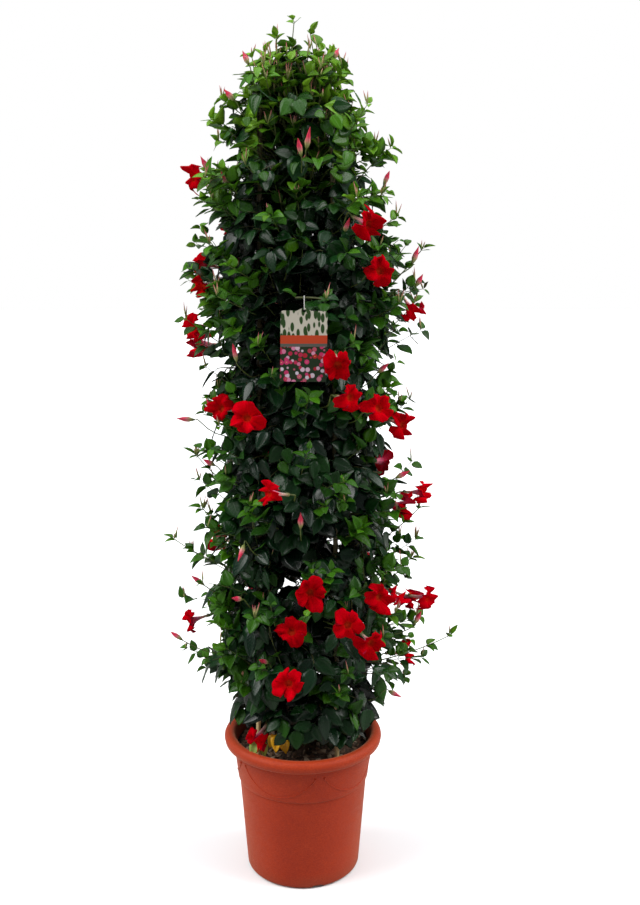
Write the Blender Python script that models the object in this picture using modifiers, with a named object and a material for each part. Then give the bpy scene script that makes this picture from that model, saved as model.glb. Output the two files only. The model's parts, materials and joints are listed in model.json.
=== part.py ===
# A mandevilla in its pot: eight vines climb four bamboo canes, with red flowers and a hang tag.
# Metres, +Z up. The origin is the middle of the pot's base, and the front looks towards -Y.
import math
import random

import bmesh
import bpy
from mathutils import Matrix, Vector

# Gap between neighbours that rest on each other
CLEARANCE = 0.0003
WELD_DISTANCE = 0.000001

# Pot
RIM_RADIUS = 0.150
RIM_TOP = 0.272
RIM_DEPTH = 0.022
MOUTH_RADIUS = 0.1285
COLLAR_RADIUS = 0.1325
COLLAR_FOOT = 0.182
COLLAR_STEP = 0.0025
BASE_RADIUS = 0.108
FOOT_ROUND = 0.007
POT_WALL = 0.003
POT_STEPS = 32
DRAIN_CUTS = 4
DRAIN_CUT_SIZE = (0.046, 0.020, 0.003)
FIRST_DRAIN_ANGLE = -76.0
DRAIN_HOLE_RADIUS = 0.006
DRAIN_HOLE_REACH = 0.092

# Soil
SOIL_LEVEL = 0.243
SOIL_MOUND = 0.008
SOIL_STEPS = 20
SOIL_ROUGHNESS = 0.0035
HOLE_DEPTH = 0.4

# Bamboo canes, on every second border between two vines
CANE_COUNT = 4
CANE_RADIUS = 0.0044
CANE_KNOT_RADIUS = 0.0052
CANE_FOOT_LEVEL = 0.120
CANE_TOP_LEVEL = 1.400
CANE_REACH_AT_SOIL = 0.104
CANE_REACH_AT_TOP = 0.086
CANE_KNOTS = 4
CANE_SIDES = 6
FIRST_CANE_ANGLE = -53.0

# Vines, one to each eighth of the tower
VINE_COUNT = 8
VINE_SPAN = 360.0 / VINE_COUNT
VINE_MARGIN = 0.0008
CANE_MARGIN = 0.0068
CORE_SHARE = 0.66
CORE_LIMIT = 0.118
CORE_DIP = 0.86
CORE_JITTER = (0.92, 1.08)
CORE_LEAST_REACH = 0.030
CORE_NARROW = {0: 0.70, 1: 0.90, -2: 0.9, -1: 0.6}
CORE_DEPTH = 0.056
CORE_CORNERS = ((0.02, True), (0.98, True), (1.0, False), (0.68, False), (0.32, False), (0.0, False))
ROOT_SINK = 0.030
CORE_LEVELS = (0.284, 0.350, 0.43, 0.53, 0.63, 0.73, 0.83, 0.93, 1.03, 1.13, 1.22, 1.31, 1.38, 1.435)
STEM_RADIUS = 0.0030
STEM_REACH = 0.068
STEM_SINK = 0.035
STEM_TOP = 0.350
TWIG_RADIUS = 0.0015
TWIG_LEVELS = 12
LOWEST_TWIG = 0.312
HIGHEST_TWIG = 1.345
CROWN_TWIGS = 2
HIGHEST_ROOT = 1.385
LOWEST_ROOT = 0.335

# How far the leaves reach from the axis, by height: (height, on the left, on the right)
TOWER_REACH = (
    (0.25, 0.150, 0.150),
    (0.35, 0.158, 0.172),
    (0.43, 0.222, 0.228),
    (0.52, 0.205, 0.200),
    (0.60, 0.190, 0.185),
    (0.70, 0.168, 0.178),
    (0.82, 0.184, 0.180),
    (0.92, 0.180, 0.160),
    (1.02, 0.194, 0.172),
    (1.12, 0.200, 0.205),
    (1.19, 0.188, 0.160),
    (1.30, 0.172, 0.148),
    (1.40, 0.138, 0.118),
    (1.47, 0.110, 0.080),
    (1.53, 0.045, 0.040),
)

# Leaves
LEAF_LENGTH_LOW = 0.054
LEAF_LENGTH_HIGH = 0.036
LEAF_WIDTH_SHARE = 0.50
LEAF_THICKNESS = 0.0020
LEAF_FOLD = 0.14
LEAF_DROOP = 0.10
WIDEST = 0.42
SHOOT_LEAF = 0.026
NODE_SHARE = 0.05
PATH_PARTS = 8
LEAF_TRIES = 16
LEAF_SPACING = 0.42

# Flowers
BLOOM_COUNT = 40
TUBE_LENGTH = 0.046
TUBE_RADIUS = 0.0024
THROAT_RADIUS = 0.0085
PETAL_THICKNESS = 0.0016
STALK_RADIUS = 0.0013
BUD_RADIUS = 0.0040
LOBES = 5
LOBE_OUTLINE = ((0.0, 0.52), (18.0, 0.95), (52.0, 0.98))

# Flowers that show from the front: side, depth and height of the face, where it looks, radius
# Where it looks is an angle round the axis and a rise, in degrees
FRONT_BLOOMS = (
    (-0.196, -0.040, 1.289, -165, 5, 0.034),
    (0.118, -0.151, 1.198, -28, -30, 0.034),
    (0.130, -0.165, 1.131, -70, 0, 0.036),
    (0.205, -0.030, 1.062, -20, -45, 0.030),
    (-0.200, -0.035, 1.035, -160, -5, 0.034),
    (-0.185, 0.035, 1.144, 165, 5, 0.033),
    (-0.188, -0.020, 1.098, -150, -20, 0.026),
    (0.058, -0.228, 0.990, -85, -15, 0.034),
    (0.084, -0.196, 0.930, -50, 0, 0.033),
    (0.142, -0.150, 0.914, -40, 20, 0.034),
    (0.190, -0.075, 0.868, -30, -10, 0.036),
    (-0.096, -0.196, 0.896, -105, 10, 0.039),
    (-0.150, -0.118, 0.905, -140, 10, 0.032),
    (-0.066, -0.190, 0.777, -170, 10, 0.030),
    (0.180, -0.070, 0.726, 30, -10, 0.032),
    (0.228, -0.025, 0.744, -15, 10, 0.030),
    (0.012, -0.214, 0.608, -86, 0, 0.038),
    (0.133, -0.174, 0.589, -60, 10, 0.036),
    (0.172, -0.085, 0.566, 20, 35, 0.030),
    (0.210, 0.010, 0.532, 10, -15, 0.026),
    (0.238, -0.050, 0.552, -12, 5, 0.034),
    (-0.021, -0.192, 0.531, -95, 35, 0.036),
    (0.080, -0.208, 0.552, -80, 10, 0.036),
    (0.124, -0.190, 0.508, -60, -10, 0.034),
    (-0.218, -0.030, 0.502, -170, -5, 0.032),
    (-0.023, -0.212, 0.451, -98, 5, 0.037),
    (-0.086, -0.106, 0.292, -125, -35, 0.025),
)

# Buds that show from the front: side, depth and height of the tip, its heading and rise, length
FRONT_BUDS = (
    (0.013, -0.140, 1.352, -60, 70, 0.028),
    (-0.004, -0.150, 1.335, -110, 60, 0.024),
    (-0.166, -0.060, 1.318, -170, 60, 0.022),
    (-0.131, -0.080, 1.292, -150, 60, 0.020),
    (0.077, -0.130, 1.214, -50, 60, 0.022),
    (0.146, -0.070, 1.294, -30, 65, 0.020),
    (0.200, -0.045, 1.170, 0, 70, 0.026),
    (0.207, -0.050, 1.124, -10, 60, 0.020),
    (-0.094, -0.060, 1.486, 170, 65, 0.020),
    (-0.026, -0.020, 1.538, 120, 75, 0.018),
    (0.062, -0.030, 1.498, 20, 60, 0.018),
    (-0.124, -0.070, 1.425, -170, 45, 0.020),
    (-0.112, -0.150, 1.010, -120, 70, 0.026),
    (-0.216, -0.040, 0.876, -175, 5, 0.026),
    (-0.162, -0.090, 0.914, -160, 60, 0.022),
    (0.144, -0.100, 0.976, -30, 40, 0.022),
    (-0.170, -0.070, 0.806, -160, 30, 0.020),
    (-0.003, -0.178, 0.732, -90, 65, 0.028),
    (-0.107, -0.160, 0.655, -120, -50, 0.026),
    (0.182, -0.100, 0.790, -20, 30, 0.024),
    (-0.118, -0.150, 0.580, -130, 20, 0.022),
    (-0.196, -0.060, 0.590, -170, 40, 0.024),
    (-0.072, -0.170, 0.475, -120, 30, 0.026),
    (0.214, -0.060, 0.520, -15, 65, 0.024),
    (0.178, -0.060, 0.360, -20, -20, 0.022),
    (-0.242, -0.020, 0.470, 175, 35, 0.022),
)

# Thin shoots that stand out of the tower: side, depth and height of the tip, drop to its foot
SHOOTS = (
    (-0.236, -0.010, 0.648, 0.030),
    (-0.178, -0.055, 0.716, 0.040),
    (-0.196, 0.020, 0.800, 0.050),
    (0.212, -0.015, 1.172, 0.080),
    (0.204, 0.030, 1.076, 0.060),
    (0.220, 0.035, 0.694, 0.050),
    (0.276, -0.010, 0.458, 0.020),
    (0.206, 0.030, 0.598, 0.050),
    (-0.011, -0.019, 1.546, 0.100),
    (0.016, -0.010, 1.530, 0.100),
    (-0.085, 0.030, 1.500, 0.080),
    (0.052, 0.040, 1.505, 0.080),
    (-0.040, -0.060, 1.510, 0.090),
    (0.030, 0.262, 0.760, 0.050),
    (-0.130, 0.200, 1.140, 0.070),
    (0.140, 0.205, 0.520, 0.040),
)

# Hang tag
CARD_WIDTH = 0.074
CARD_HEIGHT = 0.112
CARD_THICKNESS = 0.0008
CARD_HUMP = 0.004
CARD_HUMP_WIDTH = 0.022
CARD_CORNER = 0.004
CARD_HOLE_RADIUS = 0.003
CARD_HOLE_DROP = 0.004
CARD_TURN = 1.0
CARD_TOP = 1.0715
CARD_SIDE = 0.004
CARD_DEPTH = -0.2110
TIE_WIRE_RADIUS = 0.0006
TIE_SPREAD = 0.0028
TIE_POINTS = 6
TAG_TWIG_RADIUS = 0.0014

CUTTERS = "Cutters"


def collection(name):
    made = bpy.data.collections.new(name)
    bpy.context.scene.collection.children.link(made)
    return made


def material(name, colour, roughness, metallic=0.0):
    made = bpy.data.materials.new(name)
    made.use_nodes = True
    shader = made.node_tree.nodes["Principled BSDF"]
    shader.inputs["Base Color"].default_value = (*colour, 1.0)
    shader.inputs["Roughness"].default_value = roughness
    shader.inputs["Metallic"].default_value = metallic
    made.diffuse_color = (*colour, 1.0)
    return made


def add_object(name, mesh, home, look=None):
    made = bpy.data.objects.new(name, mesh)
    home.objects.link(made)
    if look:
        mesh.materials.append(look)
    return made


def direction(angle, rise=0.0):
    """A unit vector at an angle round the axis and a rise above the level, in degrees."""
    turn, lift = math.radians(angle), math.radians(rise)
    return Vector((math.cos(turn) * math.cos(lift), math.sin(turn) * math.cos(lift), math.sin(lift)))


def frame_along(axis):
    """Turns local +Z to the axis."""
    return axis.to_track_quat("Z", "Y").to_matrix()


def turned_mesh(name, profile, steps):
    """The profile, (radius, height) from the first point to the last, turned round Z by a Screw."""
    outline = bpy.data.meshes.new(name)
    points = [(radius, 0.0, height) for radius, height in profile]
    outline.from_pydata(points, [(i, i + 1) for i in range(len(points) - 1)], [])
    holder = bpy.data.objects.new(name, outline)
    bpy.context.scene.collection.objects.link(holder)
    screw = holder.modifiers.new("Turn", "SCREW")
    screw.steps = steps
    screw.render_steps = steps
    screw.use_merge_vertices = True
    screw.merge_threshold = 0.00001
    mesh = evaluated_mesh(holder)
    bpy.data.objects.remove(holder)
    mesh.shade_smooth()
    mesh.set_sharp_from_angle(angle=math.radians(30))
    return mesh


def evaluated_mesh(holder):
    graph = bpy.context.evaluated_depsgraph_get()
    return bpy.data.meshes.new_from_object(holder.evaluated_get(graph), depsgraph=graph)


def tube_mesh(name, points, radii, closed=False):
    """A bevelled curve through the points, as a mesh with its caps welded."""
    curve = bpy.data.curves.new(name, "CURVE")
    curve.dimensions = "3D"
    curve.bevel_depth = 1.0
    curve.bevel_resolution = 0
    curve.use_fill_caps = not closed
    spline = curve.splines.new("POLY")
    spline.points.add(len(points) - 1)
    for place, point, radius in zip(spline.points, points, radii):
        place.co = (*point, 1.0)
        place.radius = radius
    spline.use_cyclic_u = closed
    holder = bpy.data.objects.new(name, curve)
    bpy.context.scene.collection.objects.link(holder)
    mesh = evaluated_mesh(holder)
    bpy.data.objects.remove(holder)
    weld(mesh)
    return mesh


def weld(mesh):
    """Merges the doubles, drops points along an edge, and turns the faces to the outside."""
    work = bmesh.new()
    work.from_mesh(mesh)
    bmesh.ops.remove_doubles(work, verts=work.verts, dist=WELD_DISTANCE)
    midway = [vertex for vertex in work.verts if len(vertex.link_edges) == 2]
    bmesh.ops.dissolve_verts(work, verts=midway)
    bmesh.ops.recalc_face_normals(work, faces=work.faces)
    if work.calc_volume(signed=True) < 0:
        bmesh.ops.reverse_faces(work, faces=work.faces)
    work.to_mesh(mesh)
    work.free()


def cut(target, cutters, operation="DIFFERENCE", solver="EXACT"):
    """Cuts or joins a collection's objects into the target, and removes them."""
    change = target.modifiers.new("Join", "BOOLEAN")
    change.operation = operation
    change.operand_type = "COLLECTION"
    change.collection = cutters
    change.solver = solver
    mesh = evaluated_mesh(target)
    weld(mesh)
    target.modifiers.remove(change)
    old = target.data
    target.data = mesh
    bpy.data.meshes.remove(old)
    for cutter in list(cutters.objects):
        bpy.data.objects.remove(cutter)
    bpy.data.collections.remove(cutters)


def add_cutter(home, mesh, place=None):
    cutter = add_object("Cutter", mesh, home)
    cutter.hide_render = True
    cutter.display_type = "WIRE"
    if place:
        cutter.matrix_world = place
    return cutter


def cylinder_mesh(radius, depth, sides):
    mesh = bpy.data.meshes.new("Cylinder")
    work = bmesh.new()
    bmesh.ops.create_cone(work, cap_ends=True, segments=sides, radius1=radius, radius2=radius, depth=depth)
    work.to_mesh(mesh)
    work.free()
    return mesh


# Pot


def wall_radius(height):
    """Outer radius of the wall below the collar's step."""
    share = (height - FOOT_ROUND) / (COLLAR_FOOT - FOOT_ROUND)
    return BASE_RADIUS + (COLLAR_RADIUS - COLLAR_STEP - 0.008 - BASE_RADIUS) * share


def inner_radius(height):
    """Inner radius of the pot, straight from the floor to the mouth."""
    floor = BASE_RADIUS - POT_WALL
    share = (height - POT_WALL) / (RIM_TOP - POT_WALL)
    return floor + (MOUTH_RADIUS - floor) * share


def pot_profile():
    rim_middle = RIM_TOP - RIM_DEPTH / 2
    rim_half = (RIM_RADIUS - MOUTH_RADIUS) / 2
    crown = [
        (
            MOUTH_RADIUS + rim_half - rim_half * math.cos(math.radians(turn)),
            rim_middle + RIM_DEPTH / 2 * math.sin(math.radians(turn)),
        )
        for turn in (35, 70, 110, 145, 180)
    ]
    under = [(RIM_RADIUS - 0.0025, rim_middle - 0.009), (RIM_RADIUS - 0.008, RIM_TOP - RIM_DEPTH)]
    collar = [(COLLAR_RADIUS, RIM_TOP - RIM_DEPTH), (COLLAR_RADIUS - 0.008, COLLAR_FOOT + 0.002)]
    step = [(wall_radius(COLLAR_FOOT), COLLAR_FOOT)]
    foot = [
        (
            BASE_RADIUS - FOOT_ROUND + FOOT_ROUND * math.cos(math.radians(turn)),
            FOOT_ROUND - FOOT_ROUND * math.sin(math.radians(turn)),
        )
        for turn in (0, 45, 90)
    ]
    inside = [(0.0, POT_WALL), (inner_radius(POT_WALL), POT_WALL)]
    return inside + [(MOUTH_RADIUS, rim_middle)] + crown + under + collar + step + foot + [(0.0, 0.0)]


def drain_angles():
    return [FIRST_DRAIN_ANGLE + 360.0 / DRAIN_CUTS * i for i in range(DRAIN_CUTS)]


def make_pot(home):
    plastic = material("Pot plastic", (0.42, 0.070, 0.026), 0.55)
    pot = add_object("pot", turned_mesh("pot", pot_profile(), POT_STEPS), home, plastic)
    cutters = collection(CUTTERS)
    length, width, height = DRAIN_CUT_SIZE
    for angle in drain_angles():
        turn = Matrix.Rotation(math.radians(angle), 4, "Z")
        notch = bpy.data.meshes.new("Notch")
        work = bmesh.new()
        bmesh.ops.create_cube(work, size=1.0)
        bmesh.ops.scale(work, vec=(length, width, 2 * height), verts=work.verts)
        work.to_mesh(notch)
        work.free()
        reach = BASE_RADIUS - FOOT_ROUND - 0.004 + length / 2
        add_cutter(cutters, notch, turn @ Matrix.Translation((reach, 0.0, 0.0)))
        hole = cylinder_mesh(DRAIN_HOLE_RADIUS, 4 * POT_WALL, 8)
        add_cutter(cutters, hole, turn @ Matrix.Translation((DRAIN_HOLE_REACH - 0.012, 0.0, 0.0)))
    cut(pot, cutters)


# Soil and canes


def cane_angle(index):
    return FIRST_CANE_ANGLE + 360.0 / CANE_COUNT * index


def cane_place(index):
    """The cane's own Z runs up its middle from its foot."""
    angle = cane_angle(index)
    lean = (CANE_REACH_AT_TOP - CANE_REACH_AT_SOIL) / (CANE_TOP_LEVEL - SOIL_LEVEL)
    foot_reach = CANE_REACH_AT_SOIL - lean * (SOIL_LEVEL - CANE_FOOT_LEVEL)
    foot = direction(angle) * foot_reach
    foot.z = CANE_FOOT_LEVEL
    tilt = Matrix.Rotation(math.atan(lean), 4, "Y")
    return Matrix.Translation(foot) @ Matrix.Rotation(math.radians(angle), 4, "Z") @ tilt


def make_canes(home):
    bamboo = material("Bamboo", (0.50, 0.33, 0.14), 0.5)
    length = CANE_TOP_LEVEL - CANE_FOOT_LEVEL
    spacing = length / (CANE_KNOTS + 0.4)
    profile = [(0.0, length), (CANE_RADIUS, length)]
    for knot in reversed(range(CANE_KNOTS)):
        level = spacing * (knot + 0.7)
        profile += [
            (CANE_RADIUS, level + 0.004),
            (CANE_KNOT_RADIUS, level),
            (CANE_RADIUS, level - 0.003),
        ]
    profile += [(CANE_RADIUS, 0.0), (0.0, 0.0)]
    mesh = turned_mesh("cane", profile, CANE_SIDES)
    mesh.materials.append(bamboo)
    for index in range(CANE_COUNT):
        cane = add_object(f"cane_{index + 1}", mesh, home)
        cane.matrix_world = cane_place(index)


def stem_feet(vine):
    """Where a vine's two stems go into the soil."""
    middle = vine_angle(vine) + VINE_SPAN / 2
    return [direction(middle - 9) * STEM_REACH, direction(middle + 10) * (STEM_REACH - 0.014)]


def make_soil(home):
    peat = material("Potting soil", (0.030, 0.018, 0.012), 0.95)
    level = SOIL_LEVEL
    edge = inner_radius(level) - CLEARANCE * 2
    floor = POT_WALL + CLEARANCE
    profile = [
        (0.0, level + SOIL_MOUND),
        (edge * 0.35, level + SOIL_MOUND * 0.9),
        (edge * 0.65, level + SOIL_MOUND * 0.6),
        (edge * 0.88, level + SOIL_MOUND * 0.15),
        (edge, level),
        (inner_radius(floor) - CLEARANCE * 2, floor),
        (0.0, floor),
    ]
    mesh = turned_mesh("soil", profile, SOIL_STEPS)
    rng = random.Random("soil")
    for vertex in mesh.vertices:
        if vertex.co.z > level - 0.001:
            vertex.co.z += rng.uniform(-SOIL_ROUGHNESS, SOIL_ROUGHNESS)
    soil = add_object("soil", mesh, home, peat)
    cutters = collection(CUTTERS)
    for index in range(CANE_COUNT):
        hole = cylinder_mesh(CANE_KNOT_RADIUS + 3 * CLEARANCE, HOLE_DEPTH, 8)
        lift = Matrix.Translation((0.0, 0.0, HOLE_DEPTH / 2 - CLEARANCE))
        add_cutter(cutters, hole, cane_place(index) @ lift)
    for vine in range(VINE_COUNT):
        for foot in stem_feet(vine):
            hole = cylinder_mesh(STEM_RADIUS + 2 * CLEARANCE, HOLE_DEPTH, 6)
            lift = SOIL_LEVEL - STEM_SINK - CLEARANCE + HOLE_DEPTH / 2
            add_cutter(cutters, hole, Matrix.Translation(foot + Vector((0.0, 0.0, lift))))
    cut(soil, cutters)


# Where things may grow


def vine_angle(vine):
    return FIRST_CANE_ANGLE + VINE_SPAN * vine


def inside_span(vine, point, margin=VINE_MARGIN):
    """True where the point lies between the two upright borders of the vine's span."""
    first, last = math.radians(vine_angle(vine)), math.radians(vine_angle(vine + 1))
    from_first = math.cos(first) * point.y - math.sin(first) * point.x
    from_last = math.sin(last) * point.x - math.cos(last) * point.y
    return min(from_first, from_last) > margin


def reach_at(height, angle):
    """How far leaves reach from the axis at a height, towards an angle."""
    right = 0.5 + 0.5 * math.cos(math.radians(angle))
    levels = TOWER_REACH
    height = min(max(height, levels[0][0]), levels[-1][0])
    for lower, upper in zip(levels, levels[1:]):
        if height <= upper[0]:
            share = (height - lower[0]) / (upper[0] - lower[0])
            on_left = lower[1] + (upper[1] - lower[1]) * share
            on_right = lower[2] + (upper[2] - lower[2]) * share
            return on_left + (on_right - on_left) * right
    return levels[-1][1]


def angle_of(point):
    return math.degrees(math.atan2(point.y, point.x))


def flat_reach(point):
    return math.hypot(point.x, point.y)


def core_reach(height, angle):
    return min(reach_at(height, angle) * CORE_SHARE, CORE_LIMIT)


def root_reach(height, angle):
    """Where twigs start, well inside the core."""
    return core_reach(height, angle) - ROOT_SINK


def root_height(height):
    """The nearest height to this one where the core can hold a twig's root."""
    return min(max(height, LOWEST_ROOT), HIGHEST_ROOT)


def bloom_rows():
    """Face, heading and radius of each flower, the front ones first."""
    rows = [
        (Vector((x, y, z)), direction(angle, rise), radius)
        for x, y, z, angle, rise, radius in FRONT_BLOOMS
    ]
    rest = BLOOM_COUNT - len(FRONT_BLOOMS)
    for index in range(rest):
        height = 0.40 + 0.90 * ((index * 5) % rest) / (rest - 1)
        angle = 22.0 + 138.0 * index / (rest - 1)
        face = direction(angle) * (reach_at(height, angle) + 0.014)
        face.z = height
        tilt = direction(angle + 14 * math.sin(index * 2.1), 8 * math.cos(index * 1.7))
        rows.append((face, tilt, 0.036))
    return rows


BLOOMS = bloom_rows()


def clear_of_blooms(point, margin=0.004, own=None):
    for index, (face, axis, radius) in enumerate(BLOOMS):
        if index == own:
            continue
        along = (point - face).dot(axis)
        if along < -TUBE_LENGTH - margin or along > 0.006 + margin:
            continue
        aside = (point - face - axis * along).length
        limit = radius if along > -0.32 * TUBE_LENGTH else THROAT_RADIUS
        if aside < limit + margin:
            return False
    return True


def clear_of_tag(point, margin=0.003):
    side = abs(point.x - CARD_SIDE)
    below_top = CARD_TOP + CARD_HUMP + margin - point.z
    on_card = side < CARD_WIDTH / 2 + 0.002 + margin and 0 < below_top < CARD_HEIGHT + 0.008 + 2 * margin
    if on_card and abs(point.y - CARD_DEPTH) < 0.0015 + margin:
        return False
    on_tie = abs(point.x - CARD_SIDE) < 0.003 + margin and CARD_TOP - 0.01 < point.z < CARD_TOP + 0.03
    return not (on_tie and abs(point.y - CARD_DEPTH) < TIE_SPREAD + 0.001 + margin)


def clear_of_canes(point, margin=0.003):
    if not CANE_FOOT_LEVEL < point.z < CANE_TOP_LEVEL + margin:
        return True
    for index in range(CANE_COUNT):
        share = (point.z - SOIL_LEVEL) / (CANE_TOP_LEVEL - SOIL_LEVEL)
        reach = CANE_REACH_AT_SOIL + (CANE_REACH_AT_TOP - CANE_REACH_AT_SOIL) * share
        middle = direction(cane_angle(index)) * reach
        if math.hypot(point.x - middle.x, point.y - middle.y) < CANE_KNOT_RADIUS + margin:
            return False
    return True


def clear_of_pot(point):
    reach = flat_reach(point)
    if reach > RIM_RADIUS + 0.003:
        return point.z > RIM_TOP - RIM_DEPTH
    return point.z > (RIM_TOP + 0.003 if reach > MOUTH_RADIUS - 0.006 else SOIL_LEVEL + 0.015)


def has_room(vine, point, own=None):
    return (
        inside_span(vine, point)
        and clear_of_pot(point)
        and clear_of_canes(point)
        and clear_of_tag(point)
        and clear_of_blooms(point, own=own)
    )


# Leaves: (base, heading, face, length, width)


def leaf_grid(leaf):
    """Points all over a blade, to test what room it has."""
    base, heading, face, length, width = leaf
    across = heading.cross(face)
    points = []
    for along, half in ((0.15, 0.1), (0.36, 0.5), (0.55, 0.48), (0.72, 0.36), (0.88, 0.15), (1.0, 0.0)):
        middle = base + heading * (along * length) - face * (LEAF_DROOP * length * along * along)
        for side in (-half, 0.0, half):
            points.append(middle + across * (side * width))
    return points


def aim_leaf(rng, base, outward, side, youth, size):
    """A leaf that hangs like a shingle when old and stands up and out when young."""
    tangent = Vector((-outward.y, outward.x, 0.0))
    up = Vector((0.0, 0.0, 1.0))
    old = outward * rng.uniform(0.15, 0.75) - up * rng.uniform(0.30, 0.90)
    young = outward * rng.uniform(0.3, 0.9) + up * rng.uniform(0.1, 0.9)
    heading = old.lerp(young, youth) + tangent * (side * rng.uniform(0.45, 1.0))
    heading.normalize()
    face = (outward * (1.0 - 0.5 * youth) + up * (0.35 + 0.9 * youth)).normalized()
    face = face + tangent * rng.uniform(-0.3, 0.3)
    face = (face - heading * face.dot(heading)).normalized()
    length = size * rng.uniform(0.86, 1.12)
    return base, heading, face, length, length * LEAF_WIDTH_SHARE * rng.uniform(0.9, 1.1)


def find_leaf(rng, vine, plant, base, side, youth, size, slack=0.010):
    """Tries a few aims, and gives the first that has room, or None."""
    outward = direction(angle_of(base))
    for _ in range(LEAF_TRIES):
        leaf = aim_leaf(rng, base, outward, side, youth, size)
        grid = leaf_grid(leaf)
        tip, middle = grid[-1], grid[7]
        if flat_reach(tip) > reach_at(tip.z, angle_of(tip)) + slack:
            continue
        if tip.z > TOWER_REACH[-1][0] + slack:
            continue
        if any((middle - other).length < LEAF_SPACING * size for other in plant["middles"]):
            continue
        if all(has_room(vine, point) for point in grid):
            plant["middles"].append(middle)
            return leaf
    return None


def leaf_size(height):
    share = min(max((height - 0.30) / 1.15, 0.0), 1.0)
    return LEAF_LENGTH_LOW + (LEAF_LENGTH_HIGH - LEAF_LENGTH_LOW) * share


def youth_at(height):
    return min(max((height - 1.12) / 0.30, 0.0), 1.0)


# Twigs: a path with a radius at each point, and the leaves on its sides and at its end


def bent_path(start, end, lift):
    """A path from start to end, lifted in the middle."""
    points = []
    for i in range(PATH_PARTS + 1):
        share = i / PATH_PARTS
        middle = start.lerp(end, share)
        points.append(middle + Vector((0.0, 0.0, lift * 4 * share * (1 - share))))
    return points


def path_point(points, share):
    place = share * (len(points) - 1)
    index = min(int(place), len(points) - 2)
    return points[index].lerp(points[index + 1], place - index)


def add_spray(rng, vine, plant, start, end, lift, thick, pairs, youth, size, slack=0.010):
    """A leafy twig with a pair of leaves at each share of its length, and one at its end."""
    shares = sorted([0.0, 1.0] + [share for pair in pairs for share in (pair, pair + NODE_SHARE)])
    whole = bent_path(start, end, lift)
    if not all(has_room(vine, point) for point in whole):
        return
    points = [path_point(whole, share) for share in shares]
    radii = [thick * (1.15 - 0.4 * share) for share in shares]
    spray = {"points": points, "radii": radii, "sides": [], "end": None}
    for pair in pairs:
        index = shares.index(pair)
        base = points[index].lerp(points[index + 1], 0.5)
        for side in (-1, 1):
            leaf = find_leaf(rng, vine, plant, base, side, youth, size, slack)
            if leaf:
                spray["sides"].append((index, side, leaf))
    spray["end"] = find_leaf(rng, vine, plant, end, rng.uniform(-0.3, 0.3), youth, size, slack)
    plant["sprays"].append(spray)


def grow_twigs(vine, plant):
    """The twigs all the way up a vine, each with a pair of leaves and one at its end."""
    for level in range(TWIG_LEVELS):
        rng = random.Random(f"vine {vine} twig {level}")
        share = (level + rng.uniform(0.1, 0.9)) / TWIG_LEVELS
        height = LOWEST_TWIG + (HIGHEST_TWIG - LOWEST_TWIG) * share
        angle = vine_angle(vine) + VINE_SPAN * (0.26 + 0.48 * ((level * 0.618 + vine * 0.37) % 1.0))
        youth, size = youth_at(height), leaf_size(height)
        inner = root_reach(height, angle)
        outer = max(reach_at(height, angle) - size * 0.75, inner + 0.040)
        start = direction(angle) * inner
        end = direction(angle + rng.uniform(-6, 6)) * outer
        start.z = height
        end.z = height + 0.010 + 0.035 * youth
        add_spray(rng, vine, plant, start, end, 0.006, TWIG_RADIUS, (0.68,), youth, size)


def grow_crown(vine, plant):
    """Young upright shoots from the top of the core."""
    for index in range(CROWN_TWIGS):
        rng = random.Random(f"vine {vine} crown {index}")
        angle = vine_angle(vine) + VINE_SPAN * (0.3 + 0.4 * index)
        height = 1.36 + 0.035 * index
        start = direction(angle) * (root_reach(height, angle))
        start.z = height
        tip_height = 1.425 + 0.055 * index + rng.uniform(-0.008, 0.008)
        end = direction(angle) * (reach_at(tip_height, angle) * 0.66)
        end.z = tip_height
        add_spray(rng, vine, plant, start, end, 0.004, TWIG_RADIUS, (0.5,), 1.0, LEAF_LENGTH_HIGH * 0.92)


def grow_shoots(vine, plant):
    """Thin shoots that reach well out of the tower, with small leaves along them."""
    for index, (x, y, z, drop) in enumerate(SHOOTS):
        end = Vector((x, y, z))
        if not inside_span(vine, end, 0.004):
            continue
        rng = random.Random(f"shoot {index}")
        angle = angle_of(end)
        height = root_height(z - drop)
        start = span_point(vine, angle, root_reach(height, angle), height)
        add_spray(rng, vine, plant, start, end, 0.010, TWIG_RADIUS, (0.48, 0.74), 1.0, SHOOT_LEAF, 0.15)


def span_point(vine, angle, reach, height):
    """A point of the core, kept off the borders of the vine's span."""
    first = vine_angle(vine)
    from_first = (angle - first) % 360.0
    if from_first > 180.0 + VINE_SPAN / 2:
        from_first -= 360.0
    edge = math.degrees(math.asin((CANE_MARGIN + 0.004) / reach))
    kept = min(max(from_first, edge), VINE_SPAN - edge)
    point = direction(first + kept) * reach
    point.z = height
    return point


def bare_twig(points, radii):
    return {"points": points, "radii": radii, "sides": [], "end": None}


def grow_stalks(vine, plant):
    """The stalks of the flowers whose tubes end over this vine."""
    for index, (face, axis, _) in enumerate(BLOOMS):
        base = face - axis * (TUBE_LENGTH + CLEARANCE)
        if not inside_span(vine, base, 0.0):
            continue
        angle = angle_of(base)
        height = root_height(base.z - 0.006)
        start = span_point(vine, angle, root_reach(height, angle), height)
        path = [start, base - axis * 0.010, base]
        plant["sprays"].append(bare_twig(path, [STALK_RADIUS, STALK_RADIUS, STALK_RADIUS * 1.5]))


def grow_buds(vine, plant):
    for x, y, z, angle, rise, length in FRONT_BUDS:
        tip = Vector((x, y, z))
        if not inside_span(vine, tip, 0.004):
            continue
        axis = direction(angle, rise)
        foot = tip - axis * length
        height = root_height(foot.z - 0.012)
        start = span_point(vine, angle_of(foot), root_reach(height, angle_of(foot)), height)
        path = [start, foot, foot + axis * length * 0.45, tip]
        plant["sprays"].append(bare_twig(path, [STALK_RADIUS, STALK_RADIUS, BUD_RADIUS, 0.0006]))


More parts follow.
